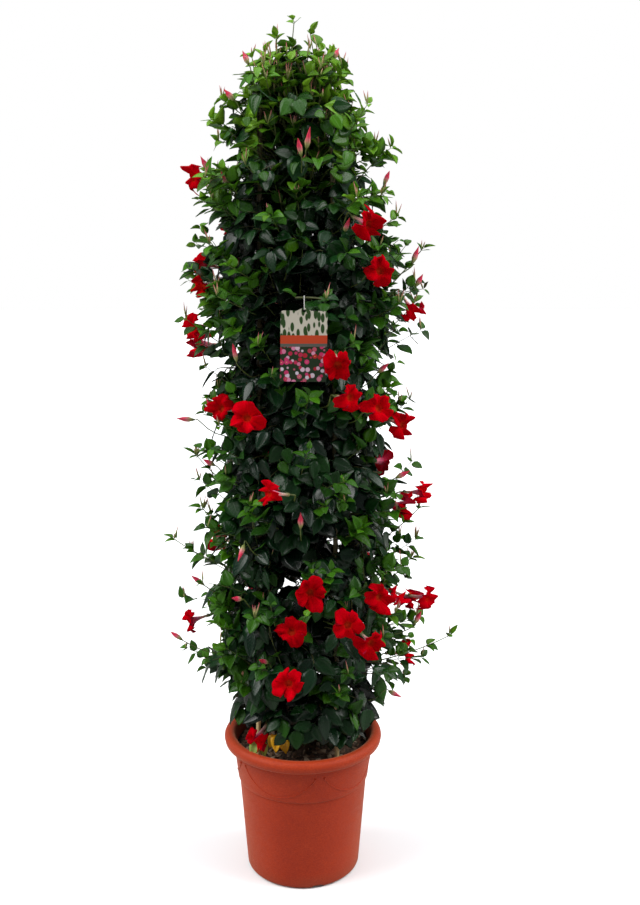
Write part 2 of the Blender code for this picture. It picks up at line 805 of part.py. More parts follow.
def tag_twig_points():
    """The twig that the tag's tie hangs on runs across the front."""
    level = CARD_TOP + 0.0205
    return [
        Vector((CARD_SIDE + 0.036, -0.076, level - 0.020)),
        Vector((CARD_SIDE + 0.030, CARD_DEPTH + 0.014, level - 0.004)),
        Vector((CARD_SIDE + 0.012, CARD_DEPTH, level)),
        Vector((CARD_SIDE - 0.014, CARD_DEPTH, level)),
    ]


def grow_tag_twig(vine, plant):
    points = tag_twig_points()
    if not inside_span(vine, points[-1]):
        return
    twig = bare_twig(points, [TAG_TWIG_RADIUS] * len(points))
    rng = random.Random("tag twig")
    twig["end"] = find_leaf(rng, vine, plant, points[-1], -1, 0.9, LEAF_LENGTH_HIGH, 0.04)
    plant["sprays"].append(twig)


def grow_vine(vine):
    plant = {"sprays": [], "middles": []}
    grow_tag_twig(vine, plant)
    grow_stalks(vine, plant)
    grow_buds(vine, plant)
    grow_shoots(vine, plant)
    grow_crown(vine, plant)
    grow_twigs(vine, plant)
    return plant


# Solids of a vine


def twig_rings(points, radii):
    """Four corners round each point, carried along the path without twist."""
    rings, sides = [], None
    for index, (point, radius) in enumerate(zip(points, radii)):
        before, after = points[max(index - 1, 0)], points[min(index + 1, len(points) - 1)]
        along = (after - before).normalized()
        side = along.cross(Vector((0.0, 0.0, 1.0))) if sides is None else sides
        side = (side - along * side.dot(along)).normalized()
        lift = along.cross(side)
        sides = side
        corners = ((1, -1), (1, 1), (-1, 1), (-1, -1))
        rings.append([point + (side * a + lift * b) * (radius * 0.75) for a, b in corners])
    return rings


def leaf_section(leaf):
    """The widest section of a folded blade, as left, top, right and low, and its tip."""
    base, heading, face, length, width = leaf
    middle = base + heading * (WIDEST * length) - face * (LEAF_DROOP * length * WIDEST**2)
    edge = heading.cross(face) * (width / 2)
    lift = face * (LEAF_FOLD * width)
    rib = face * (LEAF_THICKNESS / 2)
    tip = base + heading * length - face * (LEAF_DROOP * length)
    return [middle - edge + lift, middle + rib, middle + edge + lift, middle - rib], tip


def nearest_turn(points, low, high):
    """The shift that brings the high ring's corners nearest to the low ring's."""
    shifts = range(len(high))
    return min(
        shifts,
        key=lambda turn: sum((points[a] - points[high[(i + turn) % 4]]).length for i, a in enumerate(low)),
    )


def skin(faces, low, high):
    """Two triangles between each pair of neighbours of two rings."""
    for i in range(4):
        after = (i + 1) % 4
        faces += [(low[i], low[after], high[after]), (low[i], high[after], high[i])]


def add_blade(points, faces, root, leaf):
    """Grows a blade out of four root corners, which run round as seen from its tip."""
    section, tip = leaf_section(leaf)
    widest = list(range(len(points), len(points) + 4))
    points.extend(section)
    turn = nearest_turn(points, root, widest)
    widest = [widest[(i + turn) % 4] for i in range(4)]
    skin(faces, root, widest)
    points.append(tip)
    for i in range(4):
        faces.append((widest[i], widest[(i + 1) % 4], len(points) - 1))


def spray_mesh(spray):
    """A four-cornered twig, with blades growing out of its sides and its end."""
    points, faces, rings = [], [], []
    for ring in twig_rings(spray["points"], spray["radii"]):
        rings.append(list(range(len(points), len(points) + 4)))
        points.extend(ring)
    grown = {(index, side): leaf for index, side, leaf in spray["sides"]}
    faces.append(tuple(reversed(rings[0])))
    for index, (low, high) in enumerate(zip(rings, rings[1:])):
        for i in range(4):
            after = (i + 1) % 4
            quad = [low[i], low[after], high[after], high[i]]
            side = {0: -1, 2: 1}.get(i)
            if (index, side) in grown:
                add_blade(points, faces, quad, grown[(index, side)])
            else:
                faces.append(tuple(quad))
    if spray["end"]:
        add_blade(points, faces, rings[-1], spray["end"])
    else:
        faces.append(tuple(rings[-1]))
    mesh = bpy.data.meshes.new("Spray")
    mesh.from_pydata(points, [], faces)
    weld(mesh)
    return mesh


def core_mesh(vine):
    """The dense inner growth: a lumpy upright body with leaves and twigs standing out of it."""
    rng = random.Random(f"vine {vine} core")
    first = vine_angle(vine)
    points, rings = [], []
    for number, height in enumerate(CORE_LEVELS):
        narrow = CORE_NARROW.get(number, CORE_NARROW.get(number - len(CORE_LEVELS), 1.0))
        ring = []
        for corner, (share, inner) in enumerate(CORE_CORNERS):
            angle = first + VINE_SPAN * share
            dip = CORE_DIP if (number + corner + vine) % 2 else 1.0
            outer = core_reach(height, angle) * narrow * dip * rng.uniform(*CORE_JITTER)
            reach = max(outer - CORE_DEPTH if inner else outer, CORE_LEAST_REACH)
            ring.append(core_point(vine, angle, reach, height + rng.uniform(-0.012, 0.012)))
        points += ring
        rings.append(range(number * len(ring), (number + 1) * len(ring)))
    faces = [tuple(reversed(rings[0])), tuple(rings[-1])]
    for low, high in zip(rings, rings[1:]):
        for i in range(len(low)):
            after = (i + 1) % len(low)
            faces.append((low[i], low[after], high[after]))
            faces.append((low[i], high[after], high[i]))
    mesh = bpy.data.meshes.new(f"vine_{vine + 1}")
    mesh.from_pydata(points, [], faces)
    weld(mesh)
    return mesh


def core_point(vine, angle, reach, height):
    """Moves a point off the borders, further where a cane stands on one."""
    margins = [CANE_MARGIN if (vine + i) % 2 == 0 else 2 * VINE_MARGIN for i in (0, 1)]
    first, last = vine_angle(vine), vine_angle(vine + 1)
    from_first = math.degrees(math.asin(min(margins[0] / reach, 0.3)))
    from_last = math.degrees(math.asin(min(margins[1] / reach, 0.3)))
    kept = min(max(angle, first + from_first), last - from_last)
    point = direction(kept) * reach
    point.z = height
    return point


def stem_paths(vine):
    """Woody stems from the soil up into the core."""
    paths = []
    for foot in stem_feet(vine):
        angle = angle_of(foot)
        top = direction(angle) * (core_reach(STEM_TOP, angle) * 0.75)
        top.z = STEM_TOP
        low = foot + Vector((0.0, 0.0, SOIL_LEVEL - STEM_SINK))
        out = foot + Vector((0.0, 0.0, SOIL_LEVEL + 0.020))
        paths.append([low, out, top])
    return paths


def make_vine(vine, home, look):
    body = add_object(f"vine_{vine + 1}", core_mesh(vine), home, look)
    plant = grow_vine(vine)
    joined = collection(CUTTERS)
    for path in stem_paths(vine):
        add_cutter(joined, tube_mesh("Stem", path, [STEM_RADIUS] * len(path)))
    for spray in plant["sprays"]:
        add_cutter(joined, spray_mesh(spray))
    cut(body, joined, "UNION", "MANIFOLD")


# Flowers


def bloom_mesh(radius, wave):
    """A trumpet: a five-sided tube, a throat and a flat face of five lopsided lobes."""
    points, sides = [], LOBES
    for along, wide in ((0.0, TUBE_RADIUS), (0.5, TUBE_RADIUS * 1.7), (0.80, THROAT_RADIUS)):
        points += ring_points(sides, wide, along * TUBE_LENGTH)
    inner = len(points)
    points += ring_points(sides, THROAT_RADIUS - 0.0012, 0.80 * TUBE_LENGTH + PETAL_THICKNESS)
    deep = len(points)
    points.append(Vector((0.0, 0.0, 0.55 * TUBE_LENGTH)))
    edge = len(points)
    for lobe in range(LOBES):
        for number, (turn, share) in enumerate(LOBE_OUTLINE):
            angle = math.radians(360.0 / LOBES * lobe + turn)
            lift = wave * (-0.6, 1.0, -0.8)[number] + 0.002
            reach = radius * share
            points.append(Vector((math.cos(angle) * reach, math.sin(angle) * reach, TUBE_LENGTH + lift)))
    faces = [tuple(reversed(range(sides)))]
    for ring in range(2):
        for i in range(sides):
            after = (i + 1) % sides
            low, high = ring * sides, (ring + 1) * sides
            faces += [(low + i, low + after, high + after), (low + i, high + after, high + i)]
    count = len(LOBE_OUTLINE)
    for start, turned in ((2 * sides, True), (inner, False)):
        for i in range(sides):
            after = (i + 1) % sides
            rim = [edge + (i * count + k) % (sides * count) for k in range(count + 1)]
            fan = [(start + i, rim[k], rim[k + 1]) for k in range(count - 1)]
            fan += [(start + i, rim[count - 1], start + after)]
            fan += [(start + after, rim[count - 1], rim[count])]
            faces += [tuple(reversed(f)) if turned else f for f in fan]
    for i in range(sides):
        faces.append((inner + i, inner + (i + 1) % sides, deep))
    mesh = bpy.data.meshes.new("Bloom")
    mesh.from_pydata(points, [], faces)
    weld(mesh)
    return mesh


def ring_points(sides, radius, height):
    turns = [2 * math.pi * i / sides for i in range(sides)]
    return [Vector((math.cos(t) * radius, math.sin(t) * radius, height)) for t in turns]


def make_blooms(home):
    red = material("Petals", (0.52, 0.004, 0.008), 0.45)
    for index, (face, axis, radius) in enumerate(BLOOMS):
        mesh = bloom_mesh(radius, 0.0035 + 0.0006 * (index % 4))
        bloom = add_object(f"bloom_{index + 1}", mesh, home, red)
        roll = Matrix.Rotation(math.radians(47.0 * index), 4, "Z")
        place = Matrix.Translation(face - axis * TUBE_LENGTH) @ frame_along(axis).to_4x4() @ roll
        bloom.matrix_world = place


# Hang tag


def card_outline():
    """Half width, corners, and the hump with the hole at the top, from the card's top middle."""
    half, corner = CARD_WIDTH / 2, CARD_CORNER
    points = []
    for x, z, start in (
        (half - corner, -corner, 90),
        (half - corner, corner - CARD_HEIGHT, 0),
        (corner - half, corner - CARD_HEIGHT, -90),
        (corner - half, -corner, -180),
    ):
        for turn in (0, -45, -90):
            angle = math.radians(start + turn)
            points.append((x + corner * math.cos(angle), z + corner * math.sin(angle)))
    steps = 6
    for i in range(steps + 1):
        share = i / steps
        x = -CARD_HUMP_WIDTH / 2 + CARD_HUMP_WIDTH * share
        points.append((x, CARD_HUMP * math.sin(math.pi * share) ** 0.8))
    return points


def make_tag(home):
    stock = material("Printed card", (0.75, 0.72, 0.66), 0.35)
    outline = card_outline()
    mesh = bpy.data.meshes.new("label_card")
    work = bmesh.new()
    front = work.faces.new([work.verts.new((x, 0.0, z)) for x, z in outline])
    grown = bmesh.ops.extrude_face_region(work, geom=[front])
    moved = [v for v in grown["geom"] if isinstance(v, bmesh.types.BMVert)]
    bmesh.ops.translate(work, vec=(0.0, CARD_THICKNESS, 0.0), verts=moved)
    bmesh.ops.recalc_face_normals(work, faces=work.faces)
    work.to_mesh(mesh)
    work.free()
    card = add_object("label_card", mesh, home, stock)
    cutters = collection(CUTTERS)
    middle = Matrix.Translation((0.0, 0.0, CARD_HUMP - CARD_HOLE_DROP))
    place = middle @ Matrix.Rotation(math.pi / 2, 4, "X")
    add_cutter(cutters, cylinder_mesh(CARD_HOLE_RADIUS, 0.01, 12), place)
    cut(card, cutters)
    card.location = (CARD_SIDE, CARD_DEPTH - CARD_THICKNESS / 2, CARD_TOP)
    card.rotation_euler = (0.0, math.radians(CARD_TURN), 0.0)
    plastic = material("Tie plastic", (0.8, 0.8, 0.78), 0.4)
    wire = tube_mesh("label_tie", tie_points(), [TIE_WIRE_RADIUS] * (2 * TIE_POINTS), True)
    add_object("label_tie", wire, home, plastic)


def tie_points():
    """A slim upright loop through the card's hole and over the twig."""
    low = CARD_TOP + CARD_HUMP - CARD_HOLE_DROP + CARD_HOLE_RADIUS - TIE_WIRE_RADIUS - CLEARANCE - 0.0003
    high = tag_twig_points()[-1].z + TAG_TWIG_RADIUS + TIE_WIRE_RADIUS + 2 * CLEARANCE
    spread = TIE_SPREAD
    points = []
    for middle, start in ((high - spread, 0), (low + spread, 180)):
        for i in range(TIE_POINTS):
            angle = math.radians(start + 180.0 * i / (TIE_POINTS - 1))
            y = CARD_DEPTH + spread * math.cos(angle)
            points.append(Vector((CARD_SIDE, y, middle + spread * math.sin(angle))))
    return points


def main():
    for old in list(bpy.data.objects):
        bpy.data.objects.remove(old)
    home = collection("Mandevilla")
    make_pot(home)
    make_soil(home)
    make_canes(home)
    green = material("Leaves", (0.030, 0.090, 0.022), 0.4)
    for vine in range(VINE_COUNT):
        make_vine(vine, home, green)
    make_blooms(home)
    make_tag(home)


main()
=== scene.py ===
import json
import math
import random

import bmesh
import bpy
from mathutils import Matrix, Vector, noise

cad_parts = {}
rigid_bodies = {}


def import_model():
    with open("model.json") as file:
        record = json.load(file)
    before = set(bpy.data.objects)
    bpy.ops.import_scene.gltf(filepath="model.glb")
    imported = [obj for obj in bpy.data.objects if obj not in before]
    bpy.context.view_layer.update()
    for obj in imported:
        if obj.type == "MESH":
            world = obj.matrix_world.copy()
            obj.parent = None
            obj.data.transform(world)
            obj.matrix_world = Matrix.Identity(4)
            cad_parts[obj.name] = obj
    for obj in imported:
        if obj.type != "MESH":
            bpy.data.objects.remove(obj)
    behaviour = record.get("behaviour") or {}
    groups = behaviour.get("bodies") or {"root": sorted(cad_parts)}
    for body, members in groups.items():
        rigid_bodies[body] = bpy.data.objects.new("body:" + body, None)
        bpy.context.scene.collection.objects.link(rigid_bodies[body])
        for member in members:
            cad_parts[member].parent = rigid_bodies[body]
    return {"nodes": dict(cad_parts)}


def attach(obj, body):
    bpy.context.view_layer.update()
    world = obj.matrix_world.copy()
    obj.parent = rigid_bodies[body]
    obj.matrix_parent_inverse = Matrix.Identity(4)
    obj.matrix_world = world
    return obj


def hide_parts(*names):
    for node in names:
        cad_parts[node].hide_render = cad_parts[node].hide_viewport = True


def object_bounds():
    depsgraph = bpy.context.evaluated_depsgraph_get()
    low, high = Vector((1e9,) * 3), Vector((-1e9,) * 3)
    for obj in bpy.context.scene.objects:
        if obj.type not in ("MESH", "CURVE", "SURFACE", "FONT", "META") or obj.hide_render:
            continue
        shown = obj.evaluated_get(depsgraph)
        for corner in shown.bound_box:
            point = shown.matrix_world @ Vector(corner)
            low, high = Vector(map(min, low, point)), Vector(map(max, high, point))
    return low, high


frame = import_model()
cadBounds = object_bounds()
print("frame loaded")

# Metres, +Z up. The front of the plant looks towards -Y.
# Building blocks


def direction(angle, rise=0.0):
    turn, lift = math.radians(angle), math.radians(rise)
    return Vector((math.cos(turn) * math.cos(lift), math.sin(turn) * math.cos(lift), math.sin(lift)))


def raised(height):
    return Vector((0.0, 0.0, height))


def sideways(outward):
    return Vector((-outward.y, outward.x, 0.0))


def squared(face, heading):
    # the part of a facing that stands square to the heading
    return (face - heading * face.dot(heading)).normalized()


def shareOf(value, low, width):
    # how far a value lies through a range, from 0 to 1
    return min(max((value - low) / width, 0.0), 1.0)


def newMesh(name, points, faces):
    mesh = bpy.data.meshes.new(name)
    mesh.from_pydata(points, [], faces)
    return mesh


def addPiece(name, mesh, finish, *nodes):
    low, high = cadBounds
    for vertex in mesh.vertices:
        for i in range(3):
            vertex.co[i] = min(max(vertex.co[i], low[i]), high[i])
    piece = bpy.data.objects.new(name, mesh)
    bpy.context.scene.collection.objects.link(piece)
    if finish and not mesh.materials:
        mesh.materials.append(finish)
    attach(piece, "root")
    if nodes:
        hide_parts(*nodes)
    return piece


def cleanMesh(mesh):
    # merges doubles and turns the faces outwards
    work = bmesh.new()
    work.from_mesh(mesh)
    bmesh.ops.remove_doubles(work, verts=work.verts, dist=0.000005)
    bmesh.ops.recalc_face_normals(work, faces=work.faces)
    work.to_mesh(mesh)
    work.free()


def ringPoint(radius, angle, height):
    return (radius * math.cos(angle), radius * math.sin(angle), height)


def turnedMesh(name, profile, steps):
    # a closed solid turned from (radius, height) points, with its first and last point on the axis
    points, faces = [(0.0, 0.0, profile[0][1])], []
    for radius, height in profile[1:-1]:
        points += [ringPoint(radius, 2 * math.pi * i / steps, height) for i in range(steps)]
    points.append((0.0, 0.0, profile[-1][1]))
    rows = len(profile) - 2
    for i in range(steps):
        after = (i + 1) % steps
        faces.append((0, 1 + after, 1 + i))
        faces.append((len(points) - 1, 1 + (rows - 1) * steps + i, 1 + (rows - 1) * steps + after))
        for row in range(rows - 1):
            low, high = 1 + row * steps, 1 + (row + 1) * steps
            faces.append((low + i, low + after, high + after, high + i))
    mesh = newMesh(name, points, faces)
    cleanMesh(mesh)
    mesh.shade_smooth()
    mesh.set_sharp_from_angle(angle=math.radians(38))
    return mesh


def newTree(name, inputs):
    tree = bpy.data.node_groups.new(name, "GeometryNodeTree")
    tree.interface.new_socket("Geometry", in_out="INPUT", socket_type="NodeSocketGeometry")
    for label, kind in inputs:
        tree.interface.new_socket(label, in_out="INPUT", socket_type=kind)
    tree.interface.new_socket("Geometry", in_out="OUTPUT", socket_type="NodeSocketGeometry")
    return tree, tree.nodes.new("NodeGroupInput"), tree.nodes.new("NodeGroupOutput")


def readAttribute(tree, name, kind):
    reader = tree.nodes.new("GeometryNodeInputNamedAttribute")
    reader.data_type = kind
    reader.inputs["Name"].default_value = name
    return reader.outputs["Attribute"]


def paintGeometry(tree, geometry, start, end):
    # every tree ends by making its instances real and setting their finish
    real = tree.nodes.new("GeometryNodeRealizeInstances")
    tree.links.new(geometry, real.inputs["Geometry"])
    painted = tree.nodes.new("GeometryNodeSetMaterial")
    tree.links.new(real.outputs["Geometry"], painted.inputs["Geometry"])
    tree.links.new(start.outputs["Finish"], painted.inputs["Material"])
    tree.links.new(painted.outputs["Geometry"], end.inputs["Geometry"])


def setFloats(mesh, name, values):
    mesh.attributes.new(name, "FLOAT", "POINT").data.foreach_set("value", values)


def setPlaces(mesh, places):
    # the UV place of every corner, from a list with one place to each point
    layer = mesh.uv_layers.new(name="UVMap")
    for loop in mesh.loops:
        layer.data[loop.index].uv = places[loop.vertex_index]


def grownMesh(mesh, tree, values):
    # runs a tree on a mesh and gives the plain mesh that comes out
    holder = bpy.data.objects.new("grower", mesh)
    bpy.context.scene.collection.objects.link(holder)
    change = holder.modifiers.new(tree.name, "NODES")
    change.node_group = tree
    for item in tree.interface.items_tree:
        if item.item_type == "SOCKET" and item.in_out == "INPUT" and item.name in values:
            change[item.identifier] = values[item.name]
    graph = bpy.context.evaluated_depsgraph_get()
    grown = bpy.data.meshes.new_from_object(holder.evaluated_get(graph), depsgraph=graph)
    holder.modifiers.remove(change)
    bpy.data.objects.remove(holder)
    return grown


# Shader groups and a small wiring helper


def shaderNode(tree, kind, settings=(), **inputs):
    made = tree.nodes.new(kind)
    for name, value in settings:
        setattr(made, name, value)
    for name, value in inputs.items():
        socket = made.inputs[int(name[1:])] if name[0] == "_" else made.inputs[name.replace("_", " ")]
        if isinstance(value, bpy.types.NodeSocket):
            tree.links.new(value, socket)
        else:
            socket.default_value = value
    return made


def opaque(colour):
    return (*colour, 1.0)


def attributeNode(tree, name):
    return shaderNode(tree, "ShaderNodeAttribute", [("attribute_name", name)]).outputs["Fac"]


def objectPlace(tree):
    return tree.nodes.new("ShaderNodeTexCoord").outputs["Object"]


def partsOf(tree, place):
    return shaderNode(tree, "ShaderNodeSeparateXYZ", Vector=place).outputs


def uvParts(tree):
    return partsOf(tree, tree.nodes.new("ShaderNodeUVMap").outputs["UV"])


def greyNode(tree, value):
    return shaderNode(tree, "ShaderNodeCombineColor", _0=value, _1=value, _2=value).outputs[0]


def mathNode(tree, operation, first, second=0.0, third=0.0):
    made = shaderNode(tree, "ShaderNodeMath", [("operation", operation)], _0=first, _1=second, _2=third)
    return made.outputs[0]


def blendNode(tree, share, first, second, mode="MIX"):
    settings = [("data_type", "RGBA"), ("blend_type", mode)]
    made = shaderNode(tree, "ShaderNodeMix", settings, _0=share, _6=first, _7=second)
    return made.outputs[2]


def tinted(tree, colour, tint):
    tint = tint if isinstance(tint, bpy.types.NodeSocket) else (*tint, 1.0)
    return blendNode(tree, 1.0, colour, tint, "MULTIPLY")


def timesNode(tree, first, second):
    return mathNode(tree, "MULTIPLY", first, second)


def rampNode(tree, share, stops):
    made = shaderNode(tree, "ShaderNodeValToRGB", Fac=share)
    ramp = made.color_ramp
    while len(ramp.elements) < len(stops):
        ramp.elements.new(0.5)
    for element, (place, colour) in zip(ramp.elements, stops):
        element.position = place
        element.color = (*colour, 1.0)
    return made.outputs["Color"]


def rangeNode(tree, value, low, high, toLow=0.0, toHigh=1.0):
    made = shaderNode(tree, "ShaderNodeMapRange", _0=value, _1=low, _2=high, _3=toLow, _4=toHigh)
    return made.outputs[0]


def newGroup(name, inputs, outputs):
    tree = bpy.data.node_groups.new(name, "ShaderNodeTree")
    for label, value in inputs:
        kind = "NodeSocketFloat"
        tree.interface.new_socket(label, in_out="INPUT", socket_type=kind).default_value = value
    for label in outputs:
        tree.interface.new_socket(label, in_out="OUTPUT", socket_type="NodeSocketFloat")
    return tree, tree.nodes.new("NodeGroupInput"), tree.nodes.new("NodeGroupOutput")


def makeMottleGroup():
    # soft patches and fine specks, both from 0 to 1
    inputs = [("Patch scale", 20.0), ("Speck scale", 400.0), ("Speck amount", 0.3)]
    tree, start, end = newGroup("Mottle", inputs, ["Patches", "Specks"])
    place = objectPlace(tree)
    patch = shaderNode(tree, "ShaderNodeTexNoise", Vector=place, Scale=start.outputs[0], Detail=4.0)
    tree.links.new(rangeNode(tree, patch.outputs["Fac"], 0.3, 0.7), end.inputs[0])
    speck = shaderNode(tree, "ShaderNodeTexNoise", Vector=place, Scale=start.outputs[1], Detail=2.0)
    low = mathNode(tree, "SUBTRACT", 0.78, timesNode(tree, start.outputs[2], 0.3))
    high = mathNode(tree, "ADD", low, 0.06)
    tree.links.new(rangeNode(tree, speck.outputs["Fac"], low, high), end.inputs[1])
    return tree


def makeGrainGroup():
    # a fine surface height from 0 to 1
    tree, start, end = newGroup("Grain", [("Scale", 900.0), ("Roughness", 0.6)], ["Height"])
    place = objectPlace(tree)
    scale, rough = start.outputs[0], start.outputs[1]
    fine = shaderNode(tree, "ShaderNodeTexNoise", Vector=place, Scale=scale, Detail=3.0, Roughness=rough)
    tree.links.new(fine.outputs["Fac"], end.inputs[0])
    return tree


mottleGroup = makeMottleGroup()
grainGroup = makeGrainGroup()


def newFinish(name, roughness, **constants):
    finish = bpy.data.materials.new(name)
    finish.use_nodes = True
    shader = finish.node_tree.nodes["Principled BSDF"]
    shader.inputs["Roughness"].default_value = roughness
    for label, value in constants.items():
        shader.inputs[label.replace("_", " ")].default_value = value
    return finish, finish.node_tree, shader


def placeGroup(tree, group, **values):
    made = tree.nodes.new("ShaderNodeGroup")
    made.node_tree = group
    for label, value in values.items():
        made.inputs[label.replace("_", " ")].default_value = value
    return made


def setBump(tree, shader, height, distance, strength=1.0):
    bump = shaderNode(tree, "ShaderNodeBump", Height=height, Distance=distance, Strength=strength)
    tree.links.new(bump.outputs["Normal"], shader.inputs["Normal"])


# Finishes


def makeLeafFinish():
    finish, tree, shader = newFinish("Leaf", 0.36, Specular_IOR_Level=0.17, Coat_Roughness=0.24)
    tone = attributeNode(tree, "tone")
    shade = attributeNode(tree, "shade")
    aged = attributeNode(tree, "aged")
    under = attributeNode(tree, "under")
    place = uvParts(tree)
    across = mathNode(tree, "ABSOLUTE", mathNode(tree, "MULTIPLY_ADD", place[0], 2.0, -1.0))
    rib = rangeNode(tree, across, 0.035, 0.10, 1.0, 0.0)
    slanted = mathNode(tree, "MULTIPLY_ADD", across, -1.9, timesNode(tree, place[1], 8.0))
    saw = mathNode(tree, "PINGPONG", slanted, 0.5)
    veins = rangeNode(tree, saw, 0.04, 0.13, 1.0, 0.0)
    veins = timesNode(tree, veins, rangeNode(tree, across, 0.55, 1.0, 0.7, 0.0))
    lines = mathNode(tree, "MAXIMUM", rib, veins)
    # The 'tone' is partly the leaf's age and partly painted light and shade: lighter at the top and flanks,
    # darker deep inside
    green = rampNode(tree, tone, [
        (0.0, (0.0022, 0.0170, 0.0065)),
        (0.30, (0.0060, 0.0360, 0.0055)),
        (0.62, (0.0460, 0.1550, 0.0040)),
        (1.0, (0.1500, 0.3300, 0.0160)),
    ])
    yellow = rampNode(tree, tone, [(0.0, (0.80, 0.42, 0.015)), (1.0, (0.12, 0.22, 0.05))])
    base = blendNode(tree, aged, green, yellow)
    light = tinted(tree, base, (1.9, 1.75, 1.6))
    veined = blendNode(tree, timesNode(tree, lines, 0.26), base, light)
    pale = tinted(tree, veined, (1.8, 1.6, 1.9))
    sided = blendNode(tree, timesNode(tree, under, 0.6), veined, pale)
    mottle = placeGroup(tree, mottleGroup, Patch_scale=60.0, Speck_scale=500.0, Speck_amount=0.1)
    # Each leaf's brightness comes from its 'shade': a random part, and painted shade that darkens leaves
    # deep inside the growth and low down
    bright = mathNode(tree, "MAXIMUM", mathNode(tree, "MULTIPLY_ADD", shade, 0.60, 0.68), 0.12)
    bright = mathNode(tree, "MULTIPLY_ADD", mottle.outputs["Patches"], 0.12, bright)
    grey = greyNode(tree, bright)
    tree.links.new(tinted(tree, sided, grey), shader.inputs["Base Color"])
    sheen = mathNode(tree, "MULTIPLY_ADD", mottle.outputs["Patches"], 0.10, 0.24)
    tree.links.new(mathNode(tree, "MULTIPLY_ADD", under, 0.18, sheen), shader.inputs["Roughness"])
    tree.links.new(rangeNode(tree, tone, 0.0, 0.45, 0.30, 0.0), shader.inputs["Coat Weight"])
    height = mathNode(tree, "MULTIPLY_ADD", lines, -0.8, mottle.outputs["Patches"])
    setBump(tree, shader, height, 0.0004, 0.6)
    return finish


def makeTwigFinish():
    finish, tree, shader = newFinish("Twig", 0.5)
    tone = attributeNode(tree, "tone")
    mottle = placeGroup(tree, mottleGroup, Patch_scale=90.0, Speck_scale=700.0, Speck_amount=0.4)
    bark = rampNode(tree, tone, [
        (0.0, (0.060, 0.036, 0.020)),
        (0.5, (0.070, 0.085, 0.022)),
        (1.0, (0.150, 0.240, 0.045)),
    ])
    dark = tinted(tree, bark, (0.55, 0.40, 0.40))
    tree.links.new(blendNode(tree, mottle.outputs["Patches"], bark, dark), shader.inputs["Base Color"])
    setBump(tree, shader, mottle.outputs["Patches"], 0.0005)
    return finish


def makePetalFinish():
    finish, tree, shader = newFinish(
        "Petal",
        0.8,
        Specular_IOR_Level=0.0,
        Subsurface_Weight=0.30,
        Subsurface_Radius=(1.0, 0.25, 0.20),
        Subsurface_Scale=0.003,
    )
    place = uvParts(tree)
    inside = attributeNode(tree, "inside")
    shade = attributeNode(tree, "shade")
    along = place[1]
    front = rampNode(tree, along, [
        (0.0, (0.75, 0.060, 0.012)),
        (0.32, (0.74, 0.026, 0.009)),
        (0.40, (0.72, 0.006, 0.006)),
        (0.48, (0.70, 0.0010, 0.0060)),
        (1.0, (0.64, 0.0, 0.0070)),
    ])
    back = rampNode(tree, along, [
        (0.0, (0.40, 0.42, 0.13)),
        (0.14, (0.95, 0.60, 0.50)),
        (0.28, (1.0, 0.22, 0.34)),
        (0.50, (0.95, 0.050, 0.140)),
        (1.0, (0.74, 0.0060, 0.0260)),
    ])
    colour = blendNode(tree, inside, back, front)
    around = timesNode(tree, place[0], 60.0)
    stretched = shaderNode(tree, "ShaderNodeCombineXYZ", _0=around, _1=along)
    streak = shaderNode(tree, "ShaderNodeTexNoise", Vector=stretched.outputs[0], Scale=2.2, Detail=3.0)
    streaks = rangeNode(tree, streak.outputs["Fac"], 0.3, 0.7)
    mottle = placeGroup(tree, mottleGroup, Patch_scale=45.0, Speck_scale=600.0, Speck_amount=0.2)
    darker = tinted(tree, colour, (0.50, 0.40, 0.60))
    # Painted shade: the inner face is darker along the lines between the lobes, most near the throat, where
    # they overlap
    lobeSide = mathNode(tree, "PINGPONG", timesNode(tree, place[0], 5.0), 0.5)
    crease = timesNode(tree, rangeNode(tree, lobeSide, 0.0, 0.10, 1.0, 0.0), inside)
    crease = timesNode(tree, crease, rangeNode(tree, along, 0.40, 0.95, 0.9, 0.2))
    patches = timesNode(tree, mottle.outputs["Patches"], 0.25)
    amount = mathNode(tree, "MULTIPLY_ADD", streaks, 0.35, patches)
    red = blendNode(tree, mathNode(tree, "MAXIMUM", amount, crease), colour, darker)
    grey = greyNode(tree, shade)
    tree.links.new(tinted(tree, red, grey), shader.inputs["Base Color"])
    setBump(tree, shader, streaks, 0.0004, 0.7)
    return finish


def makeBudFinish():
    finish, tree, shader = newFinish("Bud", 0.42)
    place = uvParts(tree)
    skin = rampNode(tree, place[1], [
        (0.0, (0.13, 0.20, 0.035)),
        (0.24, (0.40, 0.42, 0.14)),
        (0.42, (0.78, 0.24, 0.24)),
        (0.58, (0.82, 0.030, 0.100)),
        (1.0, (0.66, 0.006, 0.035)),
    ])
    turn = mathNode(tree, "MULTIPLY_ADD", place[0], 10.0, timesNode(tree, place[1], 6.0))
    fold = mathNode(tree, "PINGPONG", turn, 1.0)
    dark = tinted(tree, skin, (0.6, 0.45, 0.55))
    folded = blendNode(tree, timesNode(tree, fold, 0.6), skin, dark)
    tree.links.new(folded, shader.inputs["Base Color"])
    setBump(tree, shader, fold, 0.0004, 0.6)
    return finish


